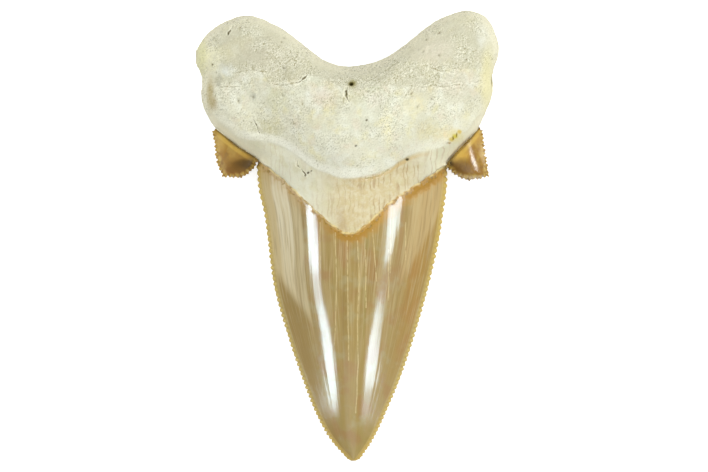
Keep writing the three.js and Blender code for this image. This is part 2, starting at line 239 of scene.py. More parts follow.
# Upper border of the smooth dental band, as [X, Y], where the rough bone of the root starts.
BAND_LINE = [
    [-22.0, 17.8],
    [-17.8, 15.9],
    [-13.2, 15.35],
    [-11.1, 14.7],
    [-9.0, 13.55],
    [-7.3, 12.2],
    [-5.5, 10.95],
    [-3.2, 10.15],
    [-1.2, 9.4],
    [2.0, 9.5],
    [4.7, 10.1],
    [7.15, 11.1],
    [8.6, 12.15],
    [11.5, 13.6],
    [14.5, 14.1],
    [22.0, 17.0],
]
SMOOTH_MARGIN = 1.1
LOBES_FROM_Y = 20
LABIAL_BONE_MARGIN = 1.5

# Lower border of the rougher bone along the top of the root, as [X, Y]. Above it the bone is also painted
# greyer, as shade where it slopes away from the lamps.
GREY_LINE = [
    [-26.0, 27.3],
    [-19.0, 27.3],
    [-14.4, 27.4],
    [-13.0, 25.1],
    [-7.5, 25.8],
    [-6.6, 26.5],
    [-2.5, 25.2],
    [0.0, 23.6],
    [4.0, 24.4],
    [15.0, 24.6],
    [15.4, 27.4],
    [26.0, 27.7],
]

# Open cracks in the root, and faint seams of broken bone, each as the points it runs through.
ROOT_CRACKS = [
    [[0.05, 24.4], [-0.25, 23.6], [-0.15, 22.9], [0.05, 22.4], [0.3, 21.9]],
    [[-6.6, 26.4], [-7.1, 25.8], [-7.8, 25.3], [-8.6, 25.1]],
    [[-19.0, 34.8], [-19.4, 34.1], [-19.8, 33.3]],
    [[-15.5, 19.1], [-14.9, 18.0], [-14.6, 16.9]],
    [[-8.35, 12.3], [-8.2, 11.6], [-7.9, 11.1]],
    [[-7.35, 10.6], [-6.95, 10.0]],
]
ROOT_SEAMS = [
    [[-8.6, 25.1], [-10.4, 24.7], [-12.2, 25.0]],
    [[-12.9, 26.8], [-14.4, 27.2], [-16.4, 27.3], [-18.9, 26.8]],
    [[-17.8, 24.6], [-20.8, 24.6]],
    [[-8.2, 29.8], [-8.4, 28.8], [-8.7, 28.0]],
    [[-9.4, 30.6], [-8.9, 29.2], [-10.2, 28.2]],
    [[-15.0, 31.2], [-13.3, 31.8]],
    [[12.6, 27.9], [13.8, 27.6], [14.8, 27.2], [16.7, 27.2], [18.2, 27.8]],
    [[12.3, 24.3], [14.5, 24.8], [16.1, 24.5], [18.4, 25.0]],
    [[22.2, 25.8], [21.2, 25.3]],
    [[9.5, 23.0], [10.8, 24.6]],
    [[2.6, 9.35], [4.4, 9.6], [5.6, 10.0], [6.9, 10.9]],
    [[-5.05, 12.3], [-4.95, 11.3]],
    [[8.5, 28.5], [7.4, 27.9], [6.5, 27.2], [5.6, 26.8], [3.9, 25.6]],
    [[0.0, 23.2], [-0.7, 22.4], [-0.5, 21.4]],
]

# Weathering: the depth and width of a crack, how high the bone is uneven, how deep the pores are and how
# far the bone stands over the band. The unevenness comes from a wide and a fine noise, each given by its
# waves per millimetre and its mean, and the wide one counts 1.2 times. A pore is where chance passes from
# the first to the second value, and its sides slope from the first to the second radius.
CRACK_DEPTH = 0.12
CRACK_WIDTH = 0.2
WEATHERING = {"Unevenness": 0.3, "Pore Depth": 0.3, "Band Step": 0.12}
WIDE_NOISE, WIDE_MEAN = 0.33, 0.62
FINE_NOISE, FINE_MEAN = 1.3, 0.55
WIDE_SHARE = 1.2
PORE_PLACES_PER_MM = 0.85
PORE_CHANCE = (1.27, 1.35)
PORE_RADII = (0.26, 0.08)

# Faces of the finished mesh that meet at more than this many degrees keep a crisp edge between them.
SHARP_ANGLE = 50

# Single pits in the root: [X, Y, radius].
ROOT_PITS = [
    [9.9, 12.6, 0.3], [-6.43, 10.42, 0.22], [-6.05, 10.65, 0.15], [3.15, 18.9, 0.2],
    [1.4, 14.75, 0.16], [8.2, 20.3, 0.18], [19.6, 29.05, 0.28], [18.8, 27.9, 0.16],
    [19.6, 31.1, 0.16], [12.45, 30.4, 0.24],
    [10.25, 31.3, 0.22], [8.8, 30.0, 0.14], [-10.4, 32.8, 0.24], [-12.1, 30.8, 0.15],
    [-20.1, 28.9, 0.16], [-18.1, 32.5, 0.18], [4.9, 24.0, 0.16],
    [16.6, 15.2, 0.24], [-15.55, 22.8, 0.26],
]

# Stains on the root: X, Y, half width, half height, colour and strength. The cool white place on the right
# lobe is a painted highlight.
ROOT_STAINS_AND_HIGHLIGHT = [
    (-21.2, 25.6, 0.9, 1.1, "#97927A", 0.6),
    (-21.4, 26.1, 1.3, 1.6, "#A8A68C", 0.5),
    (-15.6, 23.2, 0.7, 1.2, "#A9A898", 0.55),
    (-20.3, 27.3, 2.2, 1.3, "#DFE2DA", 0.6),
    (-11.5, 22.4, 2.2, 2.8, "#CFCB9C", 0.5),
    (-3.8, 22.8, 3.0, 2.0, "#D3C2AC", 0.5),
    (-13.2, 17.4, 3.4, 2.8, "#BDB78C", 0.8),
    (-1.0, 30.0, 6.0, 2.6, "#CBC8B0", 0.5),
    (8.5, 33.0, 7.0, 3.0, "#C9C3A4", 0.5),
    (-13.0, 29.6, 6.0, 3.2, "#C6BFA6", 0.65),
    (14.0, 30.5, 4.5, 3.0, "#D8CDB8", 0.5),
    (0.5, 22.7, 3.2, 1.6, "#BFB994", 0.75),
    (13.5, 17.4, 2.8, 2.4, "#D2C89A", 0.75),
    (-22.1, 29.0, 1.5, 3.2, "#EDE9C6", 0.9),
    (-6.3, 22.7, 0.7, 1.6, "#EAEBDD", 0.7),
    (4.6, 22.4, 2.0, 1.3, "#D3CBBE", 0.4),
    (6.6, 17.8, 1.0, 4.0, "#E6DCA8", 0.6),
    (19.8, 36.5, 2.6, 1.4, "#BDB68A", 0.6),
    # Painted highlight: a cool white sheen on the right lobe.
    (22.5, 33.3, 1.6, 3.0, "#E4E5DC", 0.6),
    (11.0, 21.5, 2.8, 2.0, "#E4D9A6", 0.5),
    (16.6, 16.6, 2.2, 1.6, "#E4CF98", 0.6),
    (-24.2, 29.4, 1.9, 4.6, "#F6F1C2", 1.1),
]

# Small holes drawn dark as painted shade, the stained rim of the foramen, a fresh yellow stain and the
# yellowed sides of the lobes, in the same order of values. They are painted last.
ROOT_MARKS = [
    (-22.7, 23.4, 0.8, 3.1, "#AA9450", 0.65),
    (-22.0, 21.9, 0.7, 1.4, "#A88E50", 0.5),
    (-24.3, 29.8, 1.2, 4.6, "#E0DCA2", 0.6),
    (23.2, 25.6, 1.4, 6.2, "#EADF9E", 0.55),
    (0.75, 24.95, 0.95, 0.85, "#9A9258", 0.9),
    (0.66, 24.9, 0.62, 0.52, "#6A6028", 0.8),
    # Painted shade in small pits that are too small for the mesh to show: this and the next five.
    (-6.45, 10.4, 0.26, 0.24, "#4A4020", 1.1),
    (-6.0, 10.75, 0.18, 0.17, "#4A4020", 1.0),
    (-6.95, 9.9, 0.16, 0.24, "#4A4020", 0.8),
    (9.9, 12.6, 0.28, 0.22, "#4A4020", 1.1),
    (3.15, 18.9, 0.24, 0.22, "#5A5030", 0.9),
    (1.4, 14.75, 0.22, 0.22, "#5A5030", 0.9),
    (17.9, 16.5, 1.6, 1.3, "#DED08C", 0.7),
    (17.2, 15.9, 0.55, 0.42, "#CEB450", 0.9),
    (17.8, 16.5, 0.55, 0.48, "#D2C04C", 1.0),
    (18.5, 17.2, 0.5, 0.42, "#D6B850", 0.9),
    (17.45, 16.15, 0.16, 0.4, "#86701A", 1.1),
    (18.0, 16.7, 0.15, 0.4, "#86701A", 1.1),
    (16.85, 15.4, 0.3, 0.22, "#A88444", 0.8),
]

# A distance to lines that counts as far off, and how near two lines may be before the way to the nearest
# one is wrong between the points of the mesh.
FAR_OFF = 9.0
FALSE_LINE_REACH = 0.4

# Places where the bone is full of specks: X, Y, half width and half height.
SPECKLED_PLACES = [
    (-13.0, 18.2, 5.0, 3.2),
    (-8.5, 17.6, 2.0, 4.0),
    (-9.5, 29.0, 4.0, 3.0),
    (1.0, 25.2, 9.0, 2.0),
    (-21.0, 22.5, 2.0, 4.0),
    (7.0, 26.0, 3.5, 2.0),
]

# Darker and lighter places on the cusplets: X, Y, half width, half height, colour and strength. The
# three dark browns low on the left cusplet are painted shade in its hollow by the main cusp, and the
# near-black spot on the right one is painted shade in its corner by the main cusp.
CUSPLET_STAINS_AND_SHADE = [
    (-21.2, 15.6, 1.5, 1.8, "#BE9A42", 0.9),
    (-18.6, 12.6, 2.2, 1.8, "#A07C38", 0.7),
    # Painted shade in the hollow of the left cusplet, by the main cusp: this and the next two.
    (-18.6, 10.5, 3.2, 1.6, "#7E5008", 0.95),
    (-17.4, 11.6, 3.2, 1.6, "#6E4A00", 1.2),
    (-16.8, 11.9, 2.0, 1.1, "#523800", 1.1),
    (21.6, 16.2, 1.4, 1.6, "#BC9038", 0.9),
    (18.9, 13.4, 1.7, 1.6, "#D0A648", 0.9),
    (18.5, 11.3, 3.0, 1.7, "#704C00", 1.0),
    (22.5, 13.4, 0.9, 2.0, "#B88C30", 0.8),
    # Painted shade in the corner between the right cusplet and the main cusp.
    (16.8, 11.9, 1.0, 0.9, "#1C1002", 1.0),
]

# Fine cracks filled with pale sediment down the enamel, each as the points it runs through.
ENAMEL_CRACKS = [
    [[-4.5, 2.2], [-4.5, -5.3]],
    [[-2.0, 0.5], [-1.8, -8.0], [-2.1, -18.1]],
    [[0.0, -0.8], [0.2, -20.6]],
    [[1.67, -0.8], [2.0, -8.0], [1.67, -14.0], [1.8, -21.0], [1.4, -29.4]],
    [[3.0, -2.3], [3.1, -11.8]],
    [[4.15, 1.0], [4.85, -7.45]],
    [[7.15, 2.7], [7.15, -6.1]],
    [[6.85, -2.3], [6.85, -10.6]],
    [[9.65, 2.2], [9.65, -4.0]],
]


def ramp(value, low, high):
    """0 at low, 1 at high and a smooth step between them."""
    t = np.clip((value - low) / (high - low), 0, 1)
    return t * t * (3 - 2 * t)


def mix(a, b, share):
    return a + (b - a) * share


def smooth_max(a, b, width):
    share = np.clip(0.5 + (a - b) / (2 * width), 0, 1)
    return mix(b, a, share) + width * share * (1 - share)


def round_off(distance, radius):
    """A quarter ellipse: 0 at the rim with an upright tangent, 1 from one radius inwards."""
    short = 1 - np.clip(distance / radius, 0, 1)
    return np.sqrt(1 - short * short)


def curve_through(rows):
    """A smooth curve through rows of [position, value, ...], read at any positions."""
    rows = np.array(rows, dtype=float)
    ends = np.arange(len(rows))
    after = np.minimum(ends + 1, len(rows) - 1)
    before = np.maximum(ends - 1, 0)
    slopes = (rows[after] - rows[before]) / (rows[after, :1] - rows[before, :1])

    def read(position, column=1):
        position = np.asarray(position, dtype=float)
        i = np.clip(np.searchsorted(rows[:, 0], position) - 1, 0, len(rows) - 2)
        span = rows[i + 1, 0] - rows[i, 0]
        t = np.clip((position - rows[i, 0]) / span, 0, 1)
        bend = t * t * (3 - 2 * t)
        lean = (1 - t) * slopes[i, column] - t * slopes[i + 1, column]
        return rows[i, column] * (1 - bend) + rows[i + 1, column] * bend + span * t * (1 - t) * lean

    return read


def spline_points(points, places):
    """Points on the smooth line through the given ones. A place counts points from the first one."""
    points = np.asarray(points, dtype=float)
    last = len(points) - 1
    places = np.asarray(places, dtype=float)
    i = np.clip(np.floor(places).astype(int), 0, last)
    t = (places - i)[:, None]
    p1, p2 = points[i], points[np.minimum(i + 1, last)]
    v0 = (p2 - points[np.maximum(i - 1, 0)]) / 2
    v1 = (points[np.minimum(i + 2, last)] - p1) / 2
    bend = (2 * p1 - 2 * p2 + v0 + v1) * t ** 3 + (3 * p2 - 3 * p1 - 2 * v0 - v1) * t ** 2
    return bend + v0 * t + p1


def closed_spline(points, places):
    return spline_points(np.vstack([points[-3:], points, points[:3]]), places + 3)


def signed_area(outline):
    after = np.roll(outline, -1, axis=0)
    return float(np.sum(outline[:, 0] * after[:, 1] - after[:, 0] * outline[:, 1])) / 2


def nearest_on_line(x, y, line):
    """From many points to a line in the XY plane: the distance, how far along it, and the way there."""
    line = np.asarray(line, dtype=float)
    nearest = np.full(np.shape(x), np.inf)
    along, passed = np.zeros(np.shape(x)), 0.0
    way = np.zeros((2, *np.shape(x)))
    for a, b in zip(line[:-1], line[1:]):
        run = b - a
        length = max(math.hypot(*run), 1e-6)
        t = np.clip(((x - a[0]) * run[0] + (y - a[1]) * run[1]) / length ** 2, 0, 1)
        step = np.array([a[0] + t * run[0] - x, a[1] + t * run[1] - y])
        gap = np.hypot(*step)
        along = np.where(gap < nearest, passed + t * length, along)
        way = np.where(gap < nearest, step, way)
        nearest = np.minimum(nearest, gap)
        passed += length
    return nearest, along, way


def distance_to_line(x, y, line):
    return nearest_on_line(x, y, line)[0]


def way_to_lines(x, y, lines):
    """The way from each point to the nearest of several lines, as its X, its Y and its length."""
    nearest = np.full((3, len(x)), FAR_OFF)
    for line in lines:
        distance, _, way = nearest_on_line(x, y, line)
        nearest = np.where(distance < nearest[2], [*way, distance], nearest)
    return nearest.T


def by_root_of_height(rows):
    return [[math.sqrt(row[0]), *row[1:]] for row in rows]


edge_curve = curve_through(by_root_of_height(CUSP_EDGES))
section_curve = curve_through(by_root_of_height(CUSP_SECTIONS))
ridge_curve = curve_through(RIDGE_HEIGHTS)
band_curve = curve_through(BAND_LINE)
ROOT_LOWER = [pair[:2] for pair in ROOT_PAIRS]
ROOT_UPPER = [pair[2:] for pair in ROOT_PAIRS]
LOWER_EDGE_AT_CUSPLETS = np.transpose(spline_points(ROOT_LOWER, np.linspace(4, LAST_PAIR - 4, 200)))
ROOT_FREE_EDGES = [
    spline_points(line, np.linspace(start, end, (end - start) * POINTS_PER_PAIR + 1))
    for line, start, end in (
        (ROOT_LOWER, 0, FIRST_ENAMEL_PAIR),
        (ROOT_LOWER, LAST_ENAMEL_PAIR, LAST_PAIR),
        (ROOT_UPPER, 0, LAST_PAIR),
    )
]


def ragged(x):
    """The uneven border of the root over the enamel, as a small shift in Y."""
    return RAGGED * (np.sin(2.9 * x + 1) + 0.7 * np.sin(6.7 * x + 2) + 0.6 * np.sin(13.1 * x))


ENAMEL_LINE = spline_points(ROOT_LOWER, np.linspace(FIRST_ENAMEL_PAIR, LAST_ENAMEL_PAIR, 300))
ENAMEL_LINE[:, 1] += ragged(ENAMEL_LINE[:, 0])


def cusp_section(y):
    """The cusp's middle, half width and heights at Y. The square root rounds the tip."""
    along = np.sqrt(np.maximum(0, y - TIP[1]))
    up = (y - TIP[1]) / (SERRATION_START_Y - TIP[1])
    left, right = edge_curve(along, 1), edge_curve(along, 2)
    return {
        "middle": (left + right) / 2,
        "half": np.maximum((right - left) / 2, 1e-6),
        "crest": section_curve(along, 1),
        "edge": section_curve(along, 2),
        "labial": section_curve(along, 3),
        "roundness": section_curve(along, 4),
        "labial_arch": mix(LABIAL_ARCH_AT_TIP, LABIAL_ARCH_AT_BASE, up),
    }


def cusp_top(cusp, across):
    """A rounded crest between two slopes that get steeper all the way to the cutting edges."""
    k = cusp["roundness"]
    fall = (np.sqrt(across * across + k * k) - k) / (np.sqrt(1 + k * k) - k)
    return mix(cusp["crest"], cusp["edge"], fall)


def cusp_bottom(cusp, across):
    rise = np.power(np.abs(across), cusp["labial_arch"])
    return np.maximum(0, mix(cusp["labial"], cusp["edge"], rise) - FLAT_DEPTH)


def cusp_at(x, y, height):
    cusp = cusp_section(y)
    return height(cusp, np.clip(np.abs(x - cusp["middle"]) / cusp["half"], 0, 1))


def lumps(x, y):
    """Soft lumps of the root, in whole waves of about 7 to 13 mm."""
    first = np.sin(x * 0.52 + 0.4) * np.sin(y * 0.61 + 1.1)
    return LUMP_HEIGHT * (first + 0.6 * np.sin(x * 0.83 - y * 0.47 + 2.0))


def distance_to_rim(x, y):
    return np.minimum.reduce([distance_to_line(x, y, line) for line in ROOT_FREE_EDGES])


def root_body(x, y):
    out = ramp(np.abs(x), 0, LOBE_X)
    fall = mix(RIDGE_FALL_MIDDLE, RIDGE_FALL_LOBE, out)
    off_ridge = y - mix(RIDGE_MIDDLE_Y, RIDGE_LOBE_Y, out)
    ridge = ridge_curve(x) - fall * off_ridge * off_ridge
    return smooth_max(ridge + lumps(x, y), cusp_at(x, y, cusp_top) + BAND_RISE, BAND_BLEND)


def root_top(x, y, rim_distance):
    body = root_body(x, y)
    radius = mix(TOP_ROUND_SHOULDER, TOP_ROUND_LOBE, ramp(y, *SHOULDER_TO_LOBE_Y))
    return mix(body * RIM_SHARE, body, round_off(rim_distance, radius))


def root_bottom(x, y, rim_distance):
    reach = np.minimum.reduce([np.hypot(x - flat[0], y - flat[1]) for flat in REST_FLATS])
    face = np.minimum(ROOT_HOLLOW, HOLLOW_RISE * reach * reach)
    rim = root_body(x, y) * RIM_SHARE
    bone = np.maximum(0, mix(rim, face, round_off(rim_distance, LABIAL_ROUND)) - FLAT_DEPTH)
    cusp = cusp_section(y)
    beyond_edge = np.abs(x - cusp["middle"]) / cusp["half"] - 1
    fade = ramp(y, LABIAL_ENAMEL_Y, LABIAL_ENAMEL_Y + ENAMEL_FADE) + ramp(beyond_edge, 0, EDGE_FADE)
    enamel = cusp_at(x, y, cusp_bottom) + ENAMEL_STEP
    return mix(np.maximum(bone, enamel), bone, np.minimum(1, fade))


# Kinds of nodes: a type, and the settings that make it do one job.
ADD = ("ShaderNodeMath", {"operation": "ADD"})
SUBTRACT = ("ShaderNodeMath", {"operation": "SUBTRACT"})
MULTIPLY = ("ShaderNodeMath", {"operation": "MULTIPLY"})
CLAMPED_MULTIPLY = ("ShaderNodeMath", {"operation": "MULTIPLY", "use_clamp": True})
MULTIPLY_ADD = ("ShaderNodeMath", {"operation": "MULTIPLY_ADD"})
POWER = ("ShaderNodeMath", {"operation": "POWER"})
MINIMUM = ("ShaderNodeMath", {"operation": "MINIMUM"})
MAXIMUM = ("ShaderNodeMath", {"operation": "MAXIMUM"})
ABSOLUTE = ("ShaderNodeMath", {"operation": "ABSOLUTE"})
FLOOR = ("ShaderNodeMath", {"operation": "FLOOR"})
SINE = ("ShaderNodeMath", {"operation": "SINE"})
COSINE = ("ShaderNodeMath", {"operation": "COSINE"})
VECTOR_ADD = ("ShaderNodeVectorMath", {"operation": "ADD"})
VECTOR_SUBTRACT = ("ShaderNodeVectorMath", {"operation": "SUBTRACT"})
VECTOR_MULTIPLY = ("ShaderNodeVectorMath", {"operation": "MULTIPLY"})
SCALE = ("ShaderNodeVectorMath", {"operation": "SCALE"})
LENGTH = ("ShaderNodeVectorMath", {"operation": "LENGTH"})
DISTANCE = ("ShaderNodeVectorMath", {"operation": "DISTANCE"})
DOT_PRODUCT = ("ShaderNodeVectorMath", {"operation": "DOT_PRODUCT"})
RANGE = "ShaderNodeMapRange"
SMOOTH_RANGE = (RANGE, {"interpolation_type": "SMOOTHSTEP"})
NOISE = "ShaderNodeTexNoise"
SEEDED_NOISE = (NOISE, {"noise_dimensions": "4D"})
RANDOM = ("ShaderNodeTexWhiteNoise", {"noise_dimensions": "1D"})
CELLS = "ShaderNodeTexVoronoi"
CELL_BORDERS = (CELLS, {"feature": "DISTANCE_TO_EDGE", "voronoi_dimensions": "2D"})
MIX_NUMBER = "ShaderNodeMix"
MIX_COLOUR = ("ShaderNodeMix", {"data_type": "RGBA"})
SEPARATE = "ShaderNodeSeparateXYZ"
COMBINE = "ShaderNodeCombineXYZ"
NAMED_NUMBER = ("GeometryNodeInputNamedAttribute", {"data_type": "FLOAT"})
NAMED_VECTOR = ("GeometryNodeInputNamedAttribute", {"data_type": "FLOAT_VECTOR"})
STORE_NUMBER = ("GeometryNodeStoreNamedAttribute", {"data_type": "FLOAT", "domain": "POINT"})
HAS_MATERIAL_NUMBER = ("FunctionNodeCompare", {"data_type": "INT", "operation": "EQUAL"})
FLAT = (1, 1, 0)


def in_use(sockets):
    return [socket for socket in sockets if socket.enabled]


def add_node(tree, kind, *values, **named_values):
    """Adds a node with its settings and fills its sockets, in their own order or by name. A value is a
    number, a colour or a name, or the node or socket that feeds it. The order of a range is value, from
    low, from high, to low, to high.
    """
    node_type, settings = kind if isinstance(kind, tuple) else (kind, {})
    node = tree.nodes.new(node_type)
    for name, value in settings.items():
        setattr(node, name, value)
    sockets = in_use(node.inputs)
    by_name = {socket.name: socket for socket in sockets}
    named = [(by_name[name], value) for name, value in named_values.items()]
    for socket, value in [*zip(sockets, values), *named]:
        if isinstance(value, bpy.types.Node):
            value = in_use(value.outputs)[0]
        if isinstance(value, bpy.types.NodeSocket):
            tree.links.new(value, socket)
        else:
            socket.default_value = value
    return node


def together(tree, first, *others):
    """Several masks or numbers multiplied, so that a mask holds only where all of them do."""
    for other in others:
        first = add_node(tree, MULTIPLY, first, other)
    return first


def feed(tree, node, socket):
    tree.links.new(in_use(node.outputs)[0], socket)


def linear(hex_colour):
    """An sRGB hex colour as linear red, green, blue and alpha."""
    values = [int(hex_colour[i:i + 2], 16) / 255 for i in (1, 3, 5)]
    return (*(v / 12.92 if v <= 0.04045 else ((v + 0.055) / 1.055) ** 2.4 for v in values), 1)


def new_material(name, roughness):
    """A material with its node tree, its shader, and the place on the object in millimetres."""
    material = bpy.data.materials.new(name)
    material.use_nodes = True
    tree = material.node_tree
    shader = tree.nodes["Principled BSDF"]
    shader.inputs["Roughness"].default_value = roughness
    here = add_node(tree, "ShaderNodeTexCoord")
    return material, tree, shader, add_node(tree, SCALE, here.outputs["Object"], 1 / MM)


def stored(tree, name):
    """A number that the mesh keeps for each point."""
    return add_node(tree, ("ShaderNodeAttribute", {"attribute_name": name})).outputs["Fac"]


def paint(tree, colour, layers):
    """Lays one colour after another over the first, each as far as all its masks go together."""
    if isinstance(colour, str):
        colour = linear(colour)
    for hex_colour, *masks in layers:
        colour = add_node(tree, MIX_COLOUR, together(tree, *masks), colour, linear(hex_colour))
    return colour


def patches(tree, place, size, seed, low, high):
    """A mask of soft patches of about this size in millimetres, where the noise is over low to high."""
    noise = add_node(tree, SEEDED_NOISE, place, seed, 1 / size, 3)
    return add_node(tree, SMOOTH_RANGE, noise, low, high)


def paint_patches(tree, colour, place, rows, mask=1):
    """Paints patches for each row of size, noise seed, low, high, strength and colour."""
    return paint(tree, colour, [(hex_colour, patches(tree, place, *pattern), mask, strength)
                                for *pattern, strength, hex_colour in rows])


def between(tree, value, low, high, soft):
    """A mask that is 1 from low to high and fades over a soft border."""
    above = add_node(tree, SMOOTH_RANGE, value, low - soft, low + soft)
    below = add_node(tree, SMOOTH_RANGE, value, high + soft, high - soft)
    return together(tree, above, below)


def spot(tree, place, x, y, half_width, half_height, strength):
    """A mask of one soft oval."""
    off = add_node(tree, VECTOR_SUBTRACT, place, (x, y, 0))
    off = add_node(tree, VECTOR_MULTIPLY, off, (1 / half_width, 1 / half_height, 0))
    return add_node(tree, SMOOTH_RANGE, add_node(tree, LENGTH, off), 1.25, 0.2, 0, strength)


def stains_and_painted_light_at(tree, place, uneven, spots, thinnest):
    """A colour and its masks for each spot in a list, a stain or painted light and shade, thinned out in
    places by fine noise.
    """
    cloud = patches(tree, place, *SPOT_CLOUD)
    cloud = add_node(tree, RANGE, cloud, 0, 1, thinnest, 1)
    for x, y, half_width, half_height, hex_colour, strength in spots:
        yield hex_colour, spot(tree, uneven, x, y, half_width, half_height, strength), cloud


def wobble(tree, place, size, amount):
    """A small uneven shift in the XY plane, so that drawn shapes get uneven borders."""
    noise = add_node(tree, NOISE, Vector=place, Scale=1 / size, Detail=2)
    off = add_node(tree, VECTOR_SUBTRACT, noise.outputs["Color"], (0.5, 0.5, 0.5))
    return add_node(tree, VECTOR_MULTIPLY, off, (2 * amount, 2 * amount, 0))


def wobbled(tree, place, size, amount):
    return add_node(tree, VECTOR_ADD, place, wobble(tree, place, size, amount))


def nearest_line(tree, place, lines):
    """Distance in the XY plane to the nearest of a few lines of straight pieces."""
    nearest = FAR_OFF
    flat = add_node(tree, VECTOR_MULTIPLY, place, FLAT)
    for start, end in (ends for line in lines for ends in zip(line[:-1], line[1:])):
        run = Vector((end[0] - start[0], end[1] - start[1], 0))
        off = add_node(tree, VECTOR_SUBTRACT, flat, (*start, 0))
        along = add_node(tree, DOT_PRODUCT, off, run / run.length_squared)
        foot = add_node(tree, SCALE, run, add_node(tree, CLAMPED_MULTIPLY, along, 1))
        nearest = add_node(tree, MINIMUM, add_node(tree, DISTANCE, off, foot), nearest)
    return nearest


def line_distance(tree, name, shift):
    """Distance to the nearest line of a kind. The mesh keeps the way there, which is exact between points
    too, except where two lines are as near as each other. There its length, kept beside it, helps out.
    """
    way = add_node(tree, ("ShaderNodeAttribute", {"attribute_name": name})).outputs["Vector"]
    moved = add_node(tree, VECTOR_ADD, way, shift)
    near = add_node(tree, LENGTH, add_node(tree, VECTOR_MULTIPLY, moved, FLAT))
    far = add_node(tree, SUBTRACT, add_node(tree, SEPARATE, way).outputs["Z"], FALSE_LINE_REACH)
    return add_node(tree, MAXIMUM, near, far)


def drawn_line(tree, distance, width, strength):
    """A dark line with pale rims, as the masks of the rims and of the line: painted shade down the groove and
    painted light on its lips.
    """
    rims = between(tree, distance, 1.2 * width, 2.4 * width, 0.4 * width)
    line = add_node(tree, SMOOTH_RANGE, distance, width, 0.35 * width)
    return (rims, together(tree, strength, 0.6)), (line, strength)


def emboss(tree, place, size, strength):
    """The lit and the shaded sides of small bumps of this size, in light from the upper left."""
    beside = add_node(tree, VECTOR_ADD, place, (-0.08, 0.08, 0))
    here, beside = (add_node(tree, NOISE, Vector=at, Scale=1 / size, Detail=2) for at in (place, beside))
    slope = add_node(tree, SUBTRACT, here, beside)
    return [
        ("#F2EFDC", add_node(tree, SMOOTH_RANGE, slope, 0.02, 0.16), strength),
        ("#A8A080", add_node(tree, SMOOTH_RANGE, slope, -0.02, -0.16), strength),
    ]


def roughen(tree, shader, height, depth):
    """Lets a height from 0 to 1 roughen the surface. Depth is in millimetres."""
    bump = add_node(tree, "ShaderNodeBump", Height=height, Distance=depth * MM)
    feed(tree, bump, shader.inputs["Normal"])


def bead_mask(tree, count):
    """1 on each small tooth of the cutting edge and 0 in the gaps between."""
    wave = add_node(tree, SINE, add_node(tree, MULTIPLY, count, math.pi))
    return add_node(tree, SMOOTH_RANGE, add_node(tree, ABSOLUTE, wave), 0.3, 0.85)


# Patches are rows of size in mm, noise seed, low, high, strength and colour. Those of the cusp lie in a
# place stretched along it: 15 is half its width, and streaks are about twenty times as long as wide.
SPOT_CLOUD = (0.7, 37, 0.35, 0.6)
FLOW_ACROSS = 15
FLOW_ALONG = 0.05
STREAKS = [
    (2.4, 1, 0.46, 0.66, 1, "#AF9560"),
    (1.5, 2, 0.5, 0.68, 1, "#957C42"),
    (1.9, 5, 0.5, 0.7, 0.85, "#A67E50"),
    (1.1, 7, 0.5, 0.7, 0.6, "#A39458"),
    (0.7, 9, 0.5, 0.68, 0.6, "#B7A06C"),
]
TIP_PATCHES = [(1.4, 15, 0.4, 0.65, 1, "#A08A4C")]
ENAMEL_PATCHES = [
    (3.4, 25, 0.5, 0.66, 0.5, "#A2774A"),
    (2.8, 27, 0.5, 0.66, 0.5, "#ACA074"),
]
THREADS = [
    (0.3, 13, 0.5, 0.64, 0.42, "#C8B484"),
    (0.26, 17, 0.5, 0.64, 0.3, "#86683A"),
]

# Zones that run down the cusp, across it from -1 at the left cutting edge to 1 at the right one: where
# one starts and ends, and how soft its borders are. The tan and pale zones at the upper left and the pale
# zone on the right are a painted reflection of the bright surroundings on the steep sides of the cusp.
LEFT_BROWN = (-0.97, -0.64, 0.06)
LEFT_TAN_REFLECTION = (-1.1, -0.7, 0.02)
LEFT_PALE_REFLECTION = (-0.86, -0.69, 0.025)
LEFT_OLIVE = (-0.68, -0.58, 0.025)
RIGHT_ORANGE = (0.7, 0.97, 0.1)
RIGHT_PALE_REFLECTION = (0.62, 1.1, 0.05)

# Heights Y down the cusp over which something comes in.
STREAKS_COME_IN = (-27, -6)
TIP_BEGINS = (-22, -36)
UPPER_HALF = (-12, 0)

# Enameloid is apatite, whose IOR is about 1.63. A weathered skin of it reflects less, as if it were 1.5.
# The depths of the bumps are in millimetres.
APATITE_IOR = 1.63
WEATHERED_APATITE_IOR = 1.5
ENAMEL_BUMP = 0.022
CUSPLET_BUMP = 0.03
BONE_BUMP = 0.09


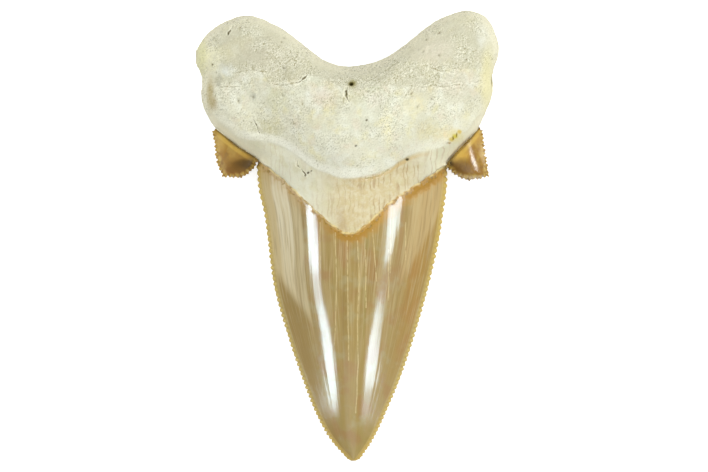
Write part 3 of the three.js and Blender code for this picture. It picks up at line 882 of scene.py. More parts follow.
def enamel():
    """Glossy fossil enameloid: a natural polished skin of apatite, warm tan with streaks that run to the
    tip. It gives the eye sharp, cool highlights on a warm ground.
    """
    material, tree, shader, place = new_material("glossy_enameloid", 0.12)
    shader.inputs["IOR"].default_value = APATITE_IOR
    shader.inputs["Specular Tint"].default_value = linear("#DBEFFD")
    shader.inputs["Coat Weight"].default_value = 0.06
    shader.inputs["Coat Roughness"].default_value = 0.35
    up = add_node(tree, SEPARATE, place).outputs["Y"]
    across = stored(tree, "across")
    flow = add_node(tree, COMBINE, together(tree, across, FLOW_ACROSS), together(tree, up, FLOW_ALONG))
    threads = add_node(tree, VECTOR_MULTIPLY, flow, (1, 0.8, 1))
    near_tip = add_node(tree, SMOOTH_RANGE, up, *TIP_BEGINS)
    streaked = add_node(tree, SMOOTH_RANGE, up, *STREAKS_COME_IN, 0.15, 1)
    ragged_rim = frayed_rim(tree, place)
    colour = paint_patches(tree, "#A48B51", flow, STREAKS, streaked)
    colour = paint_patches(tree, colour, place, TIP_PATCHES, near_tip)
    colour = paint_patches(tree, colour, place, ENAMEL_PATCHES)
    colour = paint(tree, colour, cusp_zones(tree, across, up, flow, streaked))
    colour = paint_patches(tree, colour, threads, THREADS, streaked)
    colour = paint(tree, colour, golden_rims(tree, place, across, up, near_tip, ragged_rim))
    colour = paint(tree, colour, filled_cracks(tree, place))
    colour = paint(tree, colour, serrated_edge(tree))
    feed(tree, colour, shader.inputs["Base Color"])
    feed(tree, enamel_roughness(tree, near_tip, ragged_rim), shader.inputs["Roughness"])
    grain = add_node(tree, NOISE, Vector=threads, Scale=1.2, Detail=2)
    waviness = add_node(tree, SMOOTH_RANGE, up, -14, -2, 0.5, 1)
    roughen(tree, shader, together(tree, grain, waviness), ENAMEL_BUMP)
    return material


def frayed_rim(tree, place):
    """Distance to the root's border over the enamel, made uneven by up to 1 mm either way."""
    noise = add_node(tree, NOISE, Vector=place, Scale=1.1, Detail=3)
    shift = add_node(tree, MULTIPLY_ADD, noise, 2, -1)
    return add_node(tree, ADD, shift, stored(tree, "chevron_mm"))


def cusp_zones(tree, across, up, flow, streaked):
    """Zones along the cusp: tan, pale and olive at the upper left, and orange and pale on the right; the tan
    and pale ones are a painted reflection.
    """
    lower_left_end = add_node(tree, MULTIPLY_ADD, across, 22, up)
    upper_left = add_node(tree, SMOOTH_RANGE, lower_left_end, -28.5, -25)
    waver = add_node(tree, NOISE, Vector=flow, Scale=1.6, Detail=3)
    waver = add_node(tree, MULTIPLY_ADD, waver, 0.08, across)
    across = add_node(tree, SUBTRACT, waver, 0.04)
    lower_right_end = add_node(tree, MULTIPLY_ADD, up, -0.028, across)
    upper_right_reflection = add_node(tree, SMOOTH_RANGE, lower_right_end, 0.9, 0.8)
    stronger_reflection_up = add_node(tree, RANGE, up, -9, 2, 0.35, 1)
    return [
        ("#9C8048", between(tree, across, *LEFT_BROWN), 0.7),
        # Painted reflection on the steep sides: the tan and pale layers on the left and the pale layer on the
        # right.
        ("#C9B586", between(tree, across, *LEFT_TAN_REFLECTION), upper_left),
        ("#DCD0AE", between(tree, across, *LEFT_PALE_REFLECTION), upper_left, stronger_reflection_up),
        ("#CCBC92", between(tree, across, *LEFT_OLIVE), upper_left, 0.8),
        ("#B0843C", between(tree, across, *RIGHT_ORANGE), streaked, 0.6),
        ("#C6AC78", between(tree, across, *RIGHT_PALE_REFLECTION), upper_right_reflection, 0.78),
    ]


def golden_rims(tree, place, across, up, near_tip, ragged_rim):
    """Golden enamel at the cutting edges and below the root, stronger on the right, with painted light on the
    upper cutting edges, whose steep sides turn away from the lamps.
    """
    is_right = add_node(tree, SMOOTH_RANGE, across, -0.2, 0.4)
    edge_glow = add_node(tree, SMOOTH_RANGE, stored(tree, "edge_mm"), 1.1, 0.25)
    high_up = add_node(tree, SMOOTH_RANGE, up, *UPPER_HALF)
    rim_glow = add_node(tree, SMOOTH_RANGE, ragged_rim, 2.6, 0.4)
    rim_wide = add_node(tree, SMOOTH_RANGE, ragged_rim, 1.9, 0.9)
    rim_dark = add_node(tree, SMOOTH_RANGE, ragged_rim, 0.95, 0.4)
    below_v = spot(tree, place, 0.8, 0, 5.5, 4, 1)
    below_shoulder = spot(tree, place, 12.5, 7, 5, 5, 1)
    golden = add_node(tree, MAXIMUM, below_v, below_shoulder)
    pale_line = add_node(tree, SMOOTH_RANGE, stored(tree, "chevron_mm"), 0.36, 0.12)
    return [
        ("#B49A42", edge_glow, 0.78),
        # Painted light: the upper cutting edges lightened, where their steep sides face away from the lamps.
        ("#BE9A30", edge_glow, high_up, add_node(tree, RANGE, is_right, 0, 1, 0.3, 0.6)),
        ("#BC9836", edge_glow, near_tip, 0.8),
        ("#C4923C", rim_glow, 0.65, add_node(tree, RANGE, is_right, 0, 1, 0.4, 1.3)),
        ("#A97C2E", rim_wide, golden, 0.85),
        ("#B2862F", rim_dark, 0.85, add_node(tree, RANGE, is_right, 0, 1, 0.55, 1)),
        ("#8A6C28", rim_dark, 0.85, patches(tree, place, 0.5, 21, 0.5, 0.62)),
        ("#E6D494", pale_line, 0.8, patches(tree, place, 1.1, 33, 0.4, 0.6)),
    ]


def filled_cracks(tree, place):
    """The fine cracks down the enamel, which pale sediment fills for parts of their length."""
    distance = nearest_line(tree, wobbled(tree, place, 2.5, 0.12), ENAMEL_CRACKS)
    crack = add_node(tree, SMOOTH_RANGE, distance, 0.13, 0.03)
    return [("#D8C48E", crack, 0.7, patches(tree, place, 0.7, 3, 0.25, 0.6))]


def serrated_edge(tree):
    """Paler, unpolished enamel on the small teeth of the cutting edges."""
    serrated = add_node(tree, SMOOTH_RANGE, stored(tree, "edge_mm"), 0.6, 0.25)
    beads = bead_mask(tree, stored(tree, "tooth_count"))
    return [
        ("#B4984A", serrated, 0.35),
        ("#D8BE5E", serrated, beads, 0.36),
    ]


def enamel_roughness(tree, near_tip, ragged_rim):
    """Polished in the middle, a little duller at the tip, and matte at the cutting edges and the root."""
    polished = add_node(tree, RANGE, near_tip, 0, 1, 0.1, 0.15)
    middle = add_node(tree, SMOOTH_RANGE, stored(tree, "edge_mm"), 1, 0.6, polished, 0.5)
    worn = add_node(tree, SMOOTH_RANGE, ragged_rim, 0.7, 0.3, 0, 0.5)
    return add_node(tree, MAXIMUM, middle, worn)


CUSPLET_PATCHES = [
    (1.6, 4, 0.45, 0.62, 1, "#A8863A"),
    (0.9, 6, 0.5, 0.66, 1, "#846024"),
]
POLISHED_PLACE = (21.2, 12.2, 2.6, 3.4, 1)


def cusplet_enamel():
    """Amber enameloid of the side cusplets: thinner and more stained, so it looks browner than the main
    cusp, and it is duller, apart from one polished place. Painted shade darkens the hollow of the left
    cusplet, the corner of the right one and a thin line under the root's edge.
    """
    material, tree, shader, place = new_material("amber_enameloid", 0.38)
    shader.inputs["IOR"].default_value = WEATHERED_APATITE_IOR
    shader.inputs["Specular Tint"].default_value = linear("#FFFDF6")
    shader.inputs["Coat Roughness"].default_value = 0.2
    edge, rim = (stored(tree, name) for name in ("edge_mm", "rim_mm"))
    teeth = add_node(tree, SMOOTH_RANGE, edge, 0.85, 0.3)
    beads = bead_mask(tree, stored(tree, "tooth_count"))
    bright = between(tree, rim, 0.2, 0.8, 0.15)
    line = add_node(tree, SMOOTH_RANGE, rim, 0.2, 0.08)
    outer = add_node(tree, SMOOTH_RANGE, add_node(tree, SEPARATE, place).outputs["Y"], 11.5, 15)
    uneven = wobbled(tree, place, 1.5, 0.35)
    colour = paint_patches(tree, "#966A1C", place, CUSPLET_PATCHES)
    colour = paint(tree, colour, stains_and_painted_light_at(tree, place, uneven, CUSPLET_STAINS_AND_SHADE, 0.8))
    colour = paint(tree, colour, [
        ("#CCA848", bright, outer, 0.7),
        # Painted shadow: a thin dark line where the root's edge overhangs the cusplet.
        ("#8A7630", line, 0.6),
        ("#A0782C", teeth, 0.5),
        ("#D0B25C", beads, teeth, 0.55),
    ])
    feed(tree, colour, shader.inputs["Base Color"])
    polished = spot(tree, place, *POLISHED_PLACE)
    feed(tree, polished, shader.inputs["Coat Weight"])
    feed(tree, add_node(tree, RANGE, polished, 0, 1, 0.42, 0.2), shader.inputs["Roughness"])
    grain = add_node(tree, NOISE, Vector=place, Scale=2.2, Detail=3)
    roughen(tree, shader, grain, CUSPLET_BUMP)
    return material


BONE_PATCHES = [
    (7.0, 1, 0.4, 0.65, 1, "#D4D3BC"),
    (5.0, 2, 0.5, 0.7, 0.4, "#CFC1AC"),
    (4.0, 3, 0.5, 0.7, 0.5, "#C2C1A2"),
    (3.0, 4, 0.52, 0.7, 0.5, "#D6CB9A"),
]
BONE_MOTTLES = [
    (2.0, 51, 0.5, 0.68, 0.45, "#DACBB0"),
    (2.4, 53, 0.52, 0.7, 0.5, "#DFD69E"),
    (1.7, 59, 0.48, 0.66, 0.5, "#EAEADA"),
]
BAND_MOTTLES = [
    (0.8, 41, 0.4, 0.65, 0.4, "#DED8BC"),
    (1.4, 47, 0.45, 0.7, 0.5, "#CFC79C"),
]
BAND_MIDDLE = (-3.5, 12, 3.5)

# Grains, specks and small pores of the bone. Real ones are finer still, and wouldn't show.
GRAINS = (0.24, 43, 0.53, 0.66)
SPECKS = (0.21, 31, 0.53, 0.66)
BUMP_SIZE = 0.3
FINE_PORES_PER_MM = 1.9


def root_bone():
    """Porous fossil root: dry, chalky bone, which looks matte and powdery with dark specks, and goes over
    into the smoother, faintly shining dental band.
    """
    material, tree, shader, place = new_material("porous_root_bone", 0.85)
    shader.inputs["Specular IOR Level"].default_value = 0.3
    band = stored(tree, "band_mm")
    in_band = add_node(tree, SMOOTH_RANGE, band, 0.3, -0.1)
    in_grey = add_node(tree, SMOOTH_RANGE, stored(tree, "grey_mm"), -0.3, 0.3)
    colour = stained_bone(tree, place, band, in_grey)
    colour = banded(tree, colour, place, band, in_band)
    rim = stored(tree, "rim_mm")
    # Painted light: the bone lightened towards its rim, where the surface turns away from the lamps into
    # shade.
    colour = paint(tree, colour, [
        ("#E9E3C4", add_node(tree, SMOOTH_RANGE, rim, 4, 0.3), 0.65),
        ("#F1EACC", add_node(tree, SMOOTH_RANGE, rim, 1.6, 0.2), 0.7),
    ])
    jags = wobble(tree, place, 0.8, 0.24)
    seam = line_distance(tree, "to_seam", jags)
    coarse = coarse_places(tree, place, band, in_grey, seam)
    colour = grained(tree, colour, place, coarse, in_band)
    colour = broken_bone(tree, colour, place, seam, line_distance(tree, "to_crack", jags))
    jagged = add_node(tree, VECTOR_ADD, place, jags)
    upper_face = stored(tree, "upper_face")
    marks = stains_and_painted_light_at(tree, place, jagged, ROOT_MARKS, 0.9)
    colour = paint(tree, colour, ((*mark, upper_face) for mark in marks))
    # Painted shade inside the foramen, darker the deeper the surface lies.
    hole = add_node(tree, SMOOTH_RANGE, stored(tree, "hole_mm"), 0.1, 1.2)
    feed(tree, paint(tree, colour, [("#453C14", hole)]), shader.inputs["Base Color"])
    feed(tree, add_node(tree, RANGE, in_band, 0, 1, 0.88, 0.6), shader.inputs["Roughness"])
    grain = add_node(tree, NOISE, Vector=place, Scale=1.8, Detail=4, Roughness=0.6)
    off_band = add_node(tree, RANGE, in_band, 0, 1, 1, 0.3)
    roughen(tree, shader, together(tree, grain, off_band), BONE_BUMP)
    return material


def stained_bone(tree, place, band, in_grey):
    """The root's colours: cream with soft staining, paler low down as painted light and greyer above as
    painted shade, and one painted highlight.
    """
    low = add_node(tree, SMOOTH_RANGE, band, 11, 3)
    colour = paint_patches(tree, "#CCC8AF", place, BONE_PATCHES)
    # Painted light: the bone paler low down, towards the band.
    colour = paint(tree, colour, [("#E2DFC6", low, 0.7)])
    colour = paint_patches(tree, colour, place, BONE_MOTTLES)
    # Painted shade: the bone greyer above the grey line, where it slopes away from the lamps.
    colour = paint(tree, colour, [("#BDB89C", in_grey, 0.7)])
    uneven = wobbled(tree, place, 1.3, 0.8)
    return paint(tree, colour, stains_and_painted_light_at(tree, place, uneven, ROOT_STAINS_AND_HIGHLIGHT, 0.5))


def banded(tree, colour, place, band, in_band):
    """The dental band over the colours of the bone: tan with fine upright lines, and paler beside it, where a
    painted highlight runs along the ridge at its upper border.
    """
    parts = add_node(tree, SEPARATE, place)
    side = parts.outputs["X"]
    middle = between(tree, side, *BAND_MIDDLE)
    margin = add_node(tree, SMOOTH_RANGE, add_node(tree, ABSOLUTE, side), 13.5, 15)
    right_side = add_node(tree, SMOOTH_RANGE, side, 0, 5)
    colour = paint(tree, colour, [
        ("#DCD9C0", in_band, 0.8),
        ("#C9C6A2", in_band, margin, 0.7),
        ("#C8B484", in_band, middle, 0.9),
    ])
    colour = paint_patches(tree, colour, place, BAND_MOTTLES, in_band)
    ridge_highlight_share = add_node(tree, RANGE, right_side, 0, 1, 0.65, 0.25)
    return paint(tree, colour, [
        ("#AC8C60", in_band, band_lines(tree, place, side, parts.outputs["Y"]), 0.75),
        ("#CDAE70", between(tree, band, -0.75, -0.2, 0.2), right_side, middle, 0.6),
        # Painted highlight along the ridge at the band's upper border, fainter on the right.
        ("#EFEDDC", between(tree, band, 0.1, 1.5, 0.45), ridge_highlight_share),
    ])


def band_lines(tree, place, side, up):
    """Fine upright lines, which are broken in places and fainter on the left."""
    waver = add_node(tree, NOISE, Vector=place, Scale=0.45, Detail=2)
    wavy_side = add_node(tree, MULTIPLY_ADD, waver, 1.2, side)
    lines_at = add_node(tree, COMBINE, together(tree, wavy_side, 1.15), together(tree, up, 0.035))
    borders = add_node(tree, CELL_BORDERS, Vector=lines_at, Scale=1)
    lines = add_node(tree, SMOOTH_RANGE, borders, 0.14, 0.02)
    less_left = add_node(tree, SMOOTH_RANGE, side, -5, 4, 0.3, 1)
    return together(tree, lines, patches(tree, place, 2.2, 45, 0.35, 0.6), less_left)


def coarse_places(tree, place, band, in_grey, seam):
    """Where the bone is coarse: along the seams, in patches and in chosen places, less near the band."""
    coarse = add_node(tree, SMOOTH_RANGE, seam, 1.6, 0.2)
    for other in (patches(tree, place, 4, 23, 0.42, 0.6), stored(tree, "speckled")):
        coarse = add_node(tree, MAXIMUM, coarse, other)
    in_grey = add_node(tree, RANGE, in_grey, 0, 1, 0.75, 1)
    above_band = add_node(tree, SMOOTH_RANGE, band, 0, 4.5, 0.12, 1)
    return together(tree, coarse, in_grey, above_band)


def grained(tree, colour, place, coarse, in_band):
    """Fine bumps too small for the mesh, drawn as their lit and shaded sides, and single pores."""
    off_band = add_node(tree, RANGE, in_band, 0, 1, 1, 0.3)
    bumps = together(tree, add_node(tree, RANGE, coarse, 0, 1, 0.15, 0.5),
                     add_node(tree, RANGE, in_band, 0, 1, 1, 0.4))
    colour = paint(tree, colour, emboss(tree, place, BUMP_SIZE, bumps))
    specks = together(tree, patches(tree, place, *SPECKS), add_node(tree, RANGE, coarse, 0, 1, 0.2, 0.8))
    grains = together(tree, patches(tree, place, *GRAINS), add_node(tree, RANGE, coarse, 0, 1, 0.15, 0.5))
    cells = add_node(tree, CELLS, Vector=place, Scale=FINE_PORES_PER_MM)
    chosen = add_node(tree, RANGE, cells.outputs["Color"], 0.45, 0.55)
    chosen = together(tree, chosen, coarse)
    rims = between(tree, cells.outputs["Distance"], 0.26, 0.42, 0.06)
    pores = add_node(tree, SMOOTH_RANGE, cells.outputs["Distance"], 0.24, 0.08)
    return paint(tree, colour, [
        ("#F0EEDC", grains, off_band),
        ("#8E865E", specks, off_band),
        ("#F3F0DE", rims, chosen, 0.5),
        ("#8C8258", pores, chosen, 0.8),
    ])


def broken_bone(tree, colour, place, seam, crack):
    """Faint dotted seams, then painted shade in the pits, as deep as they go, and the open cracks, each seam
    and crack drawn as painted shade in its groove with pale rims of painted light.
    """
    dotted = patches(tree, place, 0.45, 19, 0.42, 0.56)
    seam_rims, seam = drawn_line(tree, seam, 0.15, together(tree, dotted, 0.55))
    uneven_width = add_node(tree, RANGE, patches(tree, place, 1.3, 29, 0.35, 0.65), 0, 1, 0.5, 1.6)
    crack_rims, crack = drawn_line(tree, together(tree, crack, uneven_width), 0.12,
                                   add_node(tree, RANGE, dotted, 0, 1, 0.5, 0.95))
    # Painted shade in the pits and cracks, darker where they are deeper.
    sunk = add_node(tree, SMOOTH_RANGE, stored(tree, "pit_mm"), 0.02, 0.42)
    return paint(tree, colour, [
        # Seams and cracks: painted light on the pale rims and painted shade down the lines.
        ("#F0ECD6", *seam_rims),
        ("#948A60", *seam),
        ("#66521E", sunk, 0.9),
        ("#F3EFD8", *crack_rims),
        ("#5E5430", *crack),
    ])


FINISHES = [enamel(), root_bone(), cusplet_enamel()]
ENAMEL, BONE, AMBER = range(3)


def new_piece(mesh, finish):
    """A new object with this mesh. Every piece has all finishes, so their numbers hold when it is fused."""
    for material in FINISHES:
        mesh.materials.append(material)
    mesh.polygons.foreach_set("material_index", np.full(len(mesh.polygons), finish, dtype=np.int32))
    piece = bpy.data.objects.new(mesh.name, mesh)
    bpy.context.scene.collection.objects.link(piece)
    return piece


def loft(name, rings, first_cap, last_cap, finish):
    """A closed mesh from rings of points that run the same way round, with a point at each end."""
    count, size = rings.shape[:2]
    points = np.vstack([rings.reshape(-1, 3), first_cap, last_cap])
    i = np.arange(size)
    after = (i + 1) % size
    low = (np.arange(count - 1) * size)[:, None]
    quads = np.stack([low + i, low + after, low + size + after, low + size + i], axis=-1).reshape(-1, 4)
    first, last, end = len(points) - 2, len(points) - 1, (count - 1) * size
    start_fan = np.column_stack([np.full(size, first), after, i])
    end_fan = np.column_stack([np.full(size, last), end + i, end + after])
    mesh = bpy.data.meshes.new(name)
    mesh.from_pydata(points.tolist(), [], quads.tolist() + start_fan.tolist() + end_fan.tolist())
    if signed_volume(points, quads) < 0:
        mesh.flip_normals()
    return new_piece(mesh, finish)


def signed_volume(points, quads):
    a, b, c, d = (points[quads[:, k]] for k in range(4))
    return float(np.sum(a * np.cross(b, c)) + np.sum(a * np.cross(c, d)))


def store(piece, name, values):
    """Keeps one number or one vector for every point of a mesh, under a name."""
    values = np.asarray(values, dtype=np.float32)
    kind, field = ("FLOAT", "value") if values.ndim == 1 else ("FLOAT_VECTOR", "vector")
    attribute = piece.data.attributes.new(name, kind, "POINT")
    attribute.data.foreach_set(field, values.ravel())


def points_of(piece):
    points = np.empty(len(piece.data.vertices) * 3)
    piece.data.vertices.foreach_get("co", points)
    return points.reshape(-1, 3)


def keep_as_mesh(piece):
    """Turns what the modifiers make into the piece's plain mesh, and removes the modifiers."""
    depsgraph = bpy.context.evaluated_depsgraph_get()
    mesh = bpy.data.meshes.new_from_object(piece.evaluated_get(depsgraph))
    piece.modifiers.clear()
    piece.data = mesh


def new_geometry_tree(name, sizes):
    """An empty geometry tree with a named input for each size, and its input node."""
    tree = bpy.data.node_groups.new(name, "GeometryNodeTree")
    tree.interface.new_socket("Geometry", in_out="INPUT", socket_type="NodeSocketGeometry")
    for label in sizes:
        tree.interface.new_socket(label, in_out="INPUT", socket_type="NodeSocketFloat")
    tree.interface.new_socket("Geometry", in_out="OUTPUT", socket_type="NodeSocketGeometry")
    return tree, add_node(tree, "NodeGroupInput")


def end_tree(tree, geometry):
    """Ends a tree: instances made real, then each finish set on the faces that have its number."""
    geometry = add_node(tree, "GeometryNodeRealizeInstances", Geometry=geometry)
    number = add_node(tree, "GeometryNodeInputMaterialIndex")
    for index, material in enumerate(FINISHES):
        chosen = add_node(tree, HAS_MATERIAL_NUMBER, number, index)
        geometry = add_node(tree, "GeometryNodeSetMaterial", Geometry=geometry, Selection=chosen,
                            Material=material)
    add_node(tree, "NodeGroupOutput", Geometry=geometry)


def grow(piece, tree, sizes):
    """Runs a geometry tree on the piece with its named inputs set, and keeps the result as a mesh."""
    modifier = piece.modifiers.new(tree.name, "NODES")
    modifier.node_group = tree
    for item in tree.interface.items_tree:
        if item.name in sizes:
            modifier[item.identifier] = sizes[item.name]
    keep_as_mesh(piece)


def serration_tree():
    """Pushes a cutting edge out at each small tooth, and sinks a short groove in from each notch."""
    tree, given = new_geometry_tree("Serrations", CUSP_SERRATIONS)
    count, inside = (add_node(tree, NAMED_NUMBER, name) for name in ("serration", "inside_mm"))
    outward, inward = (add_node(tree, NAMED_VECTOR, name) for name in ("outward", "inward"))
    turn = add_node(tree, MULTIPLY, count, math.pi)
    rounded = add_node(tree, POWER, add_node(tree, ABSOLUTE, add_node(tree, SINE, turn)), TOOTH_ROUNDING)
    gap = add_node(tree, ABSOLUTE, add_node(tree, COSINE, turn))
    pointed = add_node(tree, SUBTRACT, 1, gap)
    tooth = add_node(tree, MIX_NUMBER, given.outputs["Pointed"], rounded, pointed)
    notch = add_node(tree, SUBTRACT, 1, tooth)
    chance = add_node(tree, RANDOM, add_node(tree, FLOOR, count))
    size = add_node(tree, RANGE, chance, 0, 1, *TOOTH_SIZES)
    near = add_node(tree, SMOOTH_RANGE, inside, given.outputs["Reach"], 0)
    strength = together(tree, near, size)
    push = add_node(tree, SUBTRACT, tooth, TOOTH_MIDDLE)
    push = together(tree, push, given.outputs["Depth"], strength)
    sink = together(tree, notch, given.outputs["Groove"], strength)
    move_out, move_in = add_node(tree, SCALE, outward, push), add_node(tree, SCALE, inward, sink)
    move = add_node(tree, VECTOR_ADD, move_out, move_in)
    shaped = add_node(tree, "GeometryNodeSetPosition", Geometry=given, Offset=move)
    end_tree(tree, shaped)
    return tree


def weathering_tree():
    """Gives the root its uneven bone, pores and cracks, and keeps their depth for the finish."""
    tree, given = new_geometry_tree("Weathering", WEATHERING)
    place = add_node(tree, "GeometryNodeInputPosition")
    bone, rough, damage, upper_face = (
        add_node(tree, NAMED_NUMBER, name) for name in ("bone", "roughness", "damage", "upper_face"))
    wide = add_node(tree, NOISE, Vector=place, Scale=WIDE_NOISE, Detail=2)
    wide = add_node(tree, SUBTRACT, wide, WIDE_MEAN)
    fine = add_node(tree, NOISE, Vector=place, Scale=FINE_NOISE, Detail=3, Roughness=0.6)
    fine = together(tree, add_node(tree, SUBTRACT, fine, FINE_MEAN), rough)
    uneven = add_node(tree, MULTIPLY_ADD, wide, WIDE_SHARE, fine)
    uneven = together(tree, uneven, given.outputs["Unevenness"])
    cells = add_node(tree, CELLS, Vector=place, Scale=PORE_PLACES_PER_MM)
    spread = add_node(tree, NOISE, Vector=place, Scale=0.28, Detail=1)
    chance = add_node(tree, "FunctionNodeSeparateColor", cells.outputs["Color"])
    is_pore = add_node(tree, RANGE, add_node(tree, ADD, chance, spread), *PORE_CHANCE)
    hole = add_node(tree, SMOOTH_RANGE, cells.outputs["Distance"], *PORE_RADII)
    pore = together(tree, is_pore, hole, upper_face, rough, given.outputs["Pore Depth"])
    pit = together(tree, add_node(tree, MAXIMUM, pore, damage), bone)
    step = together(tree, add_node(tree, SUBTRACT, rough, 1), given.outputs["Band Step"])
    relief = together(tree, add_node(tree, ADD, uneven, step), bone)
    relief = add_node(tree, SUBTRACT, relief, pit)
    kept = add_node(tree, STORE_NUMBER, Geometry=given, Name="pit_mm", Value=pit)
    normal = add_node(tree, "GeometryNodeInputNormal")
    shaped = add_node(tree, "GeometryNodeSetPosition", Geometry=kept,
                      Offset=add_node(tree, SCALE, normal, relief))
    end_tree(tree, shaped)
    return tree


def serration_rows():
    """Rows down the cusp as (Y, serration count), finer towards the tip."""
    y, count, rows = SERRATION_START_Y, 0.0, []
    while y > TIP[1] + 0.06:
        rows.append((y, count))
        steepness = math.hypot(1, (cusp_section(y)["half"] - cusp_section(y - 0.1)["half"]) / 0.1)
        share = (y - TIP[1]) / (SERRATION_START_Y - TIP[1])
        y -= mix(PITCH_AT_TIP, PITCH_AT_BASE, share) / ROWS_PER_SERRATION / steepness
        count += 1 / ROWS_PER_SERRATION
    return np.array(rows)


def cusp_stations():
    """Places across the cusp, from -1 to 1 over the top and back below, closer together at the edges."""
    top = np.sin(np.linspace(-math.pi / 2, math.pi / 2, CUSP_TOP_STEPS + 1))
    bottom = np.sin(np.linspace(math.pi / 2, -math.pi / 2, CUSP_BOTTOM_STEPS + 1))[1:-1]
    across = np.concatenate([top, bottom])
    return across, np.arange(len(across)) <= CUSP_TOP_STEPS


def store_edge(piece, count, inside, out_x, out_y, is_top):
    """Keeps what the serrations need at each point of a loft: its tooth, depth in, and directions."""
    shape = inside.shape
    outward = np.zeros((*shape, 3))
    outward[..., 0], outward[..., 1] = out_x, out_y
    outward /= np.maximum(np.linalg.norm(outward, axis=-1, keepdims=True), 1e-9)
    inward = np.zeros((*shape, 3))
    inward[..., 2] = np.where(is_top, -1.0, 1.0)
    caps = np.zeros((2, 3))
    store(piece, "serration", np.append(np.broadcast_to(count, shape), [0, 0]))
    store(piece, "inside_mm", np.append(inside, [9, 9]))
    store(piece, "outward", np.vstack([outward.reshape(-1, 3), caps]))
    store(piece, "inward", np.vstack([inward.reshape(-1, 3), caps]))


def make_main_cusp(tree):
    """The enamelled blade, lofted from rows across it, with its serrations."""
    across, is_top = cusp_stations()
    rows = serration_rows()
    labial_end = LABIAL_ENAMEL_Y + LABIAL_ENAMEL_RISE * across * across
    inside_root = [mix(SERRATION_START_Y, labial_end, share) for share in np.linspace(1, 0.08, 10)]
    y = np.vstack(inside_root + [np.full(len(across), row[0]) for row in rows])
    cusp = cusp_section(y)
    s = np.broadcast_to(across, y.shape)
    z = np.where(is_top, cusp_top(cusp, s), cusp_bottom(cusp, s))
    x = cusp["middle"] + s * cusp["half"]
    cap = [[float(cusp_section(LABIAL_ENAMEL_Y)["middle"]), LABIAL_ENAMEL_Y, 5]]
    piece = loft("main_cusp", np.stack([x, y, z], axis=-1), cap, [TIP], ENAMEL)
    slope = (cusp["half"] - cusp_section(y - 0.05)["half"]) / 0.05
    count = np.append(np.zeros(len(inside_root)), rows[:, 1])[:, None] + 200 * (s < 0)
    inside = (1 - np.abs(s)) * cusp["half"] / ramp(y, TIP[1], TIP[1] + SERRATION_FADE).clip(0.05)
    store_edge(piece, count, inside, np.sign(s), -slope, is_top)
    grow(piece, tree, CUSP_SERRATIONS)
    return piece


def make_root():
    """The two-lobed root with its dental band, lofted from ribs across it."""
    places = np.linspace(0, LAST_PAIR, LAST_PAIR * RIBS_PER_PAIR + 1)[1:-1]
    low = spline_points(ROOT_LOWER, places)[:, None, :]
    high = spline_points(ROOT_UPPER, places)[:, None, :]
    on_enamel = (places >= FIRST_ENAMEL_PAIR) & (places <= LAST_ENAMEL_PAIR)
    low[on_enamel, 0, 1] += ragged(low[on_enamel, 0, 0])
    even = 0.75 * ramp(places, FIRST_ENAMEL_PAIR - 3, FIRST_ENAMEL_PAIR)
    even = even * ramp(places, LAST_ENAMEL_PAIR + 3, LAST_ENAMEL_PAIR)
    over = (1 - np.cos(np.linspace(0, math.pi, ROOT_TOP_STEPS + 1))) / 2
    over = mix(over, np.linspace(0, 1, ROOT_TOP_STEPS + 1), even[:, None])
    below = ((1 - np.cos(np.linspace(0, math.pi, ROOT_BOTTOM_STEPS + 1))) / 2)[1:-1][::-1]
    share = np.hstack([over, np.tile(below, (len(places), 1))])
    width = np.linalg.norm(high - low, axis=-1)[:, 0]
    share[on_enamel, 1] = BAND_WALL / width[on_enamel]
    x, y = (mix(low[..., k], high[..., k], share) for k in (0, 1))
    rim_distance = distance_to_rim(x, y)
    is_top = np.arange(share.shape[1]) <= ROOT_TOP_STEPS
    z = np.where(is_top, root_top(x, y, rim_distance), root_bottom(x, y, rim_distance))
    rim = root_body(x, y) * RIM_SHARE
    foot = np.maximum(rim, cusp_at(x, y, cusp_top) - BAND_FOOT)
    z[:, 0] = np.where(on_enamel, foot[:, 0], rim[:, 0])
    z[:, ROOT_TOP_STEPS] = rim[:, ROOT_TOP_STEPS]
    caps = [[[*end, float(root_body(*np.array(end)) * RIM_SHARE)]] for end in (ROOT_LOWER[0], ROOT_LOWER[-1])]
    return loft("root", np.stack([x, y, z], axis=-1), *caps, BONE)


def edge_rise(distance, rise):
    steep, reach, slope = rise
    return steep * (1 - np.exp(-distance / reach)) + slope * distance


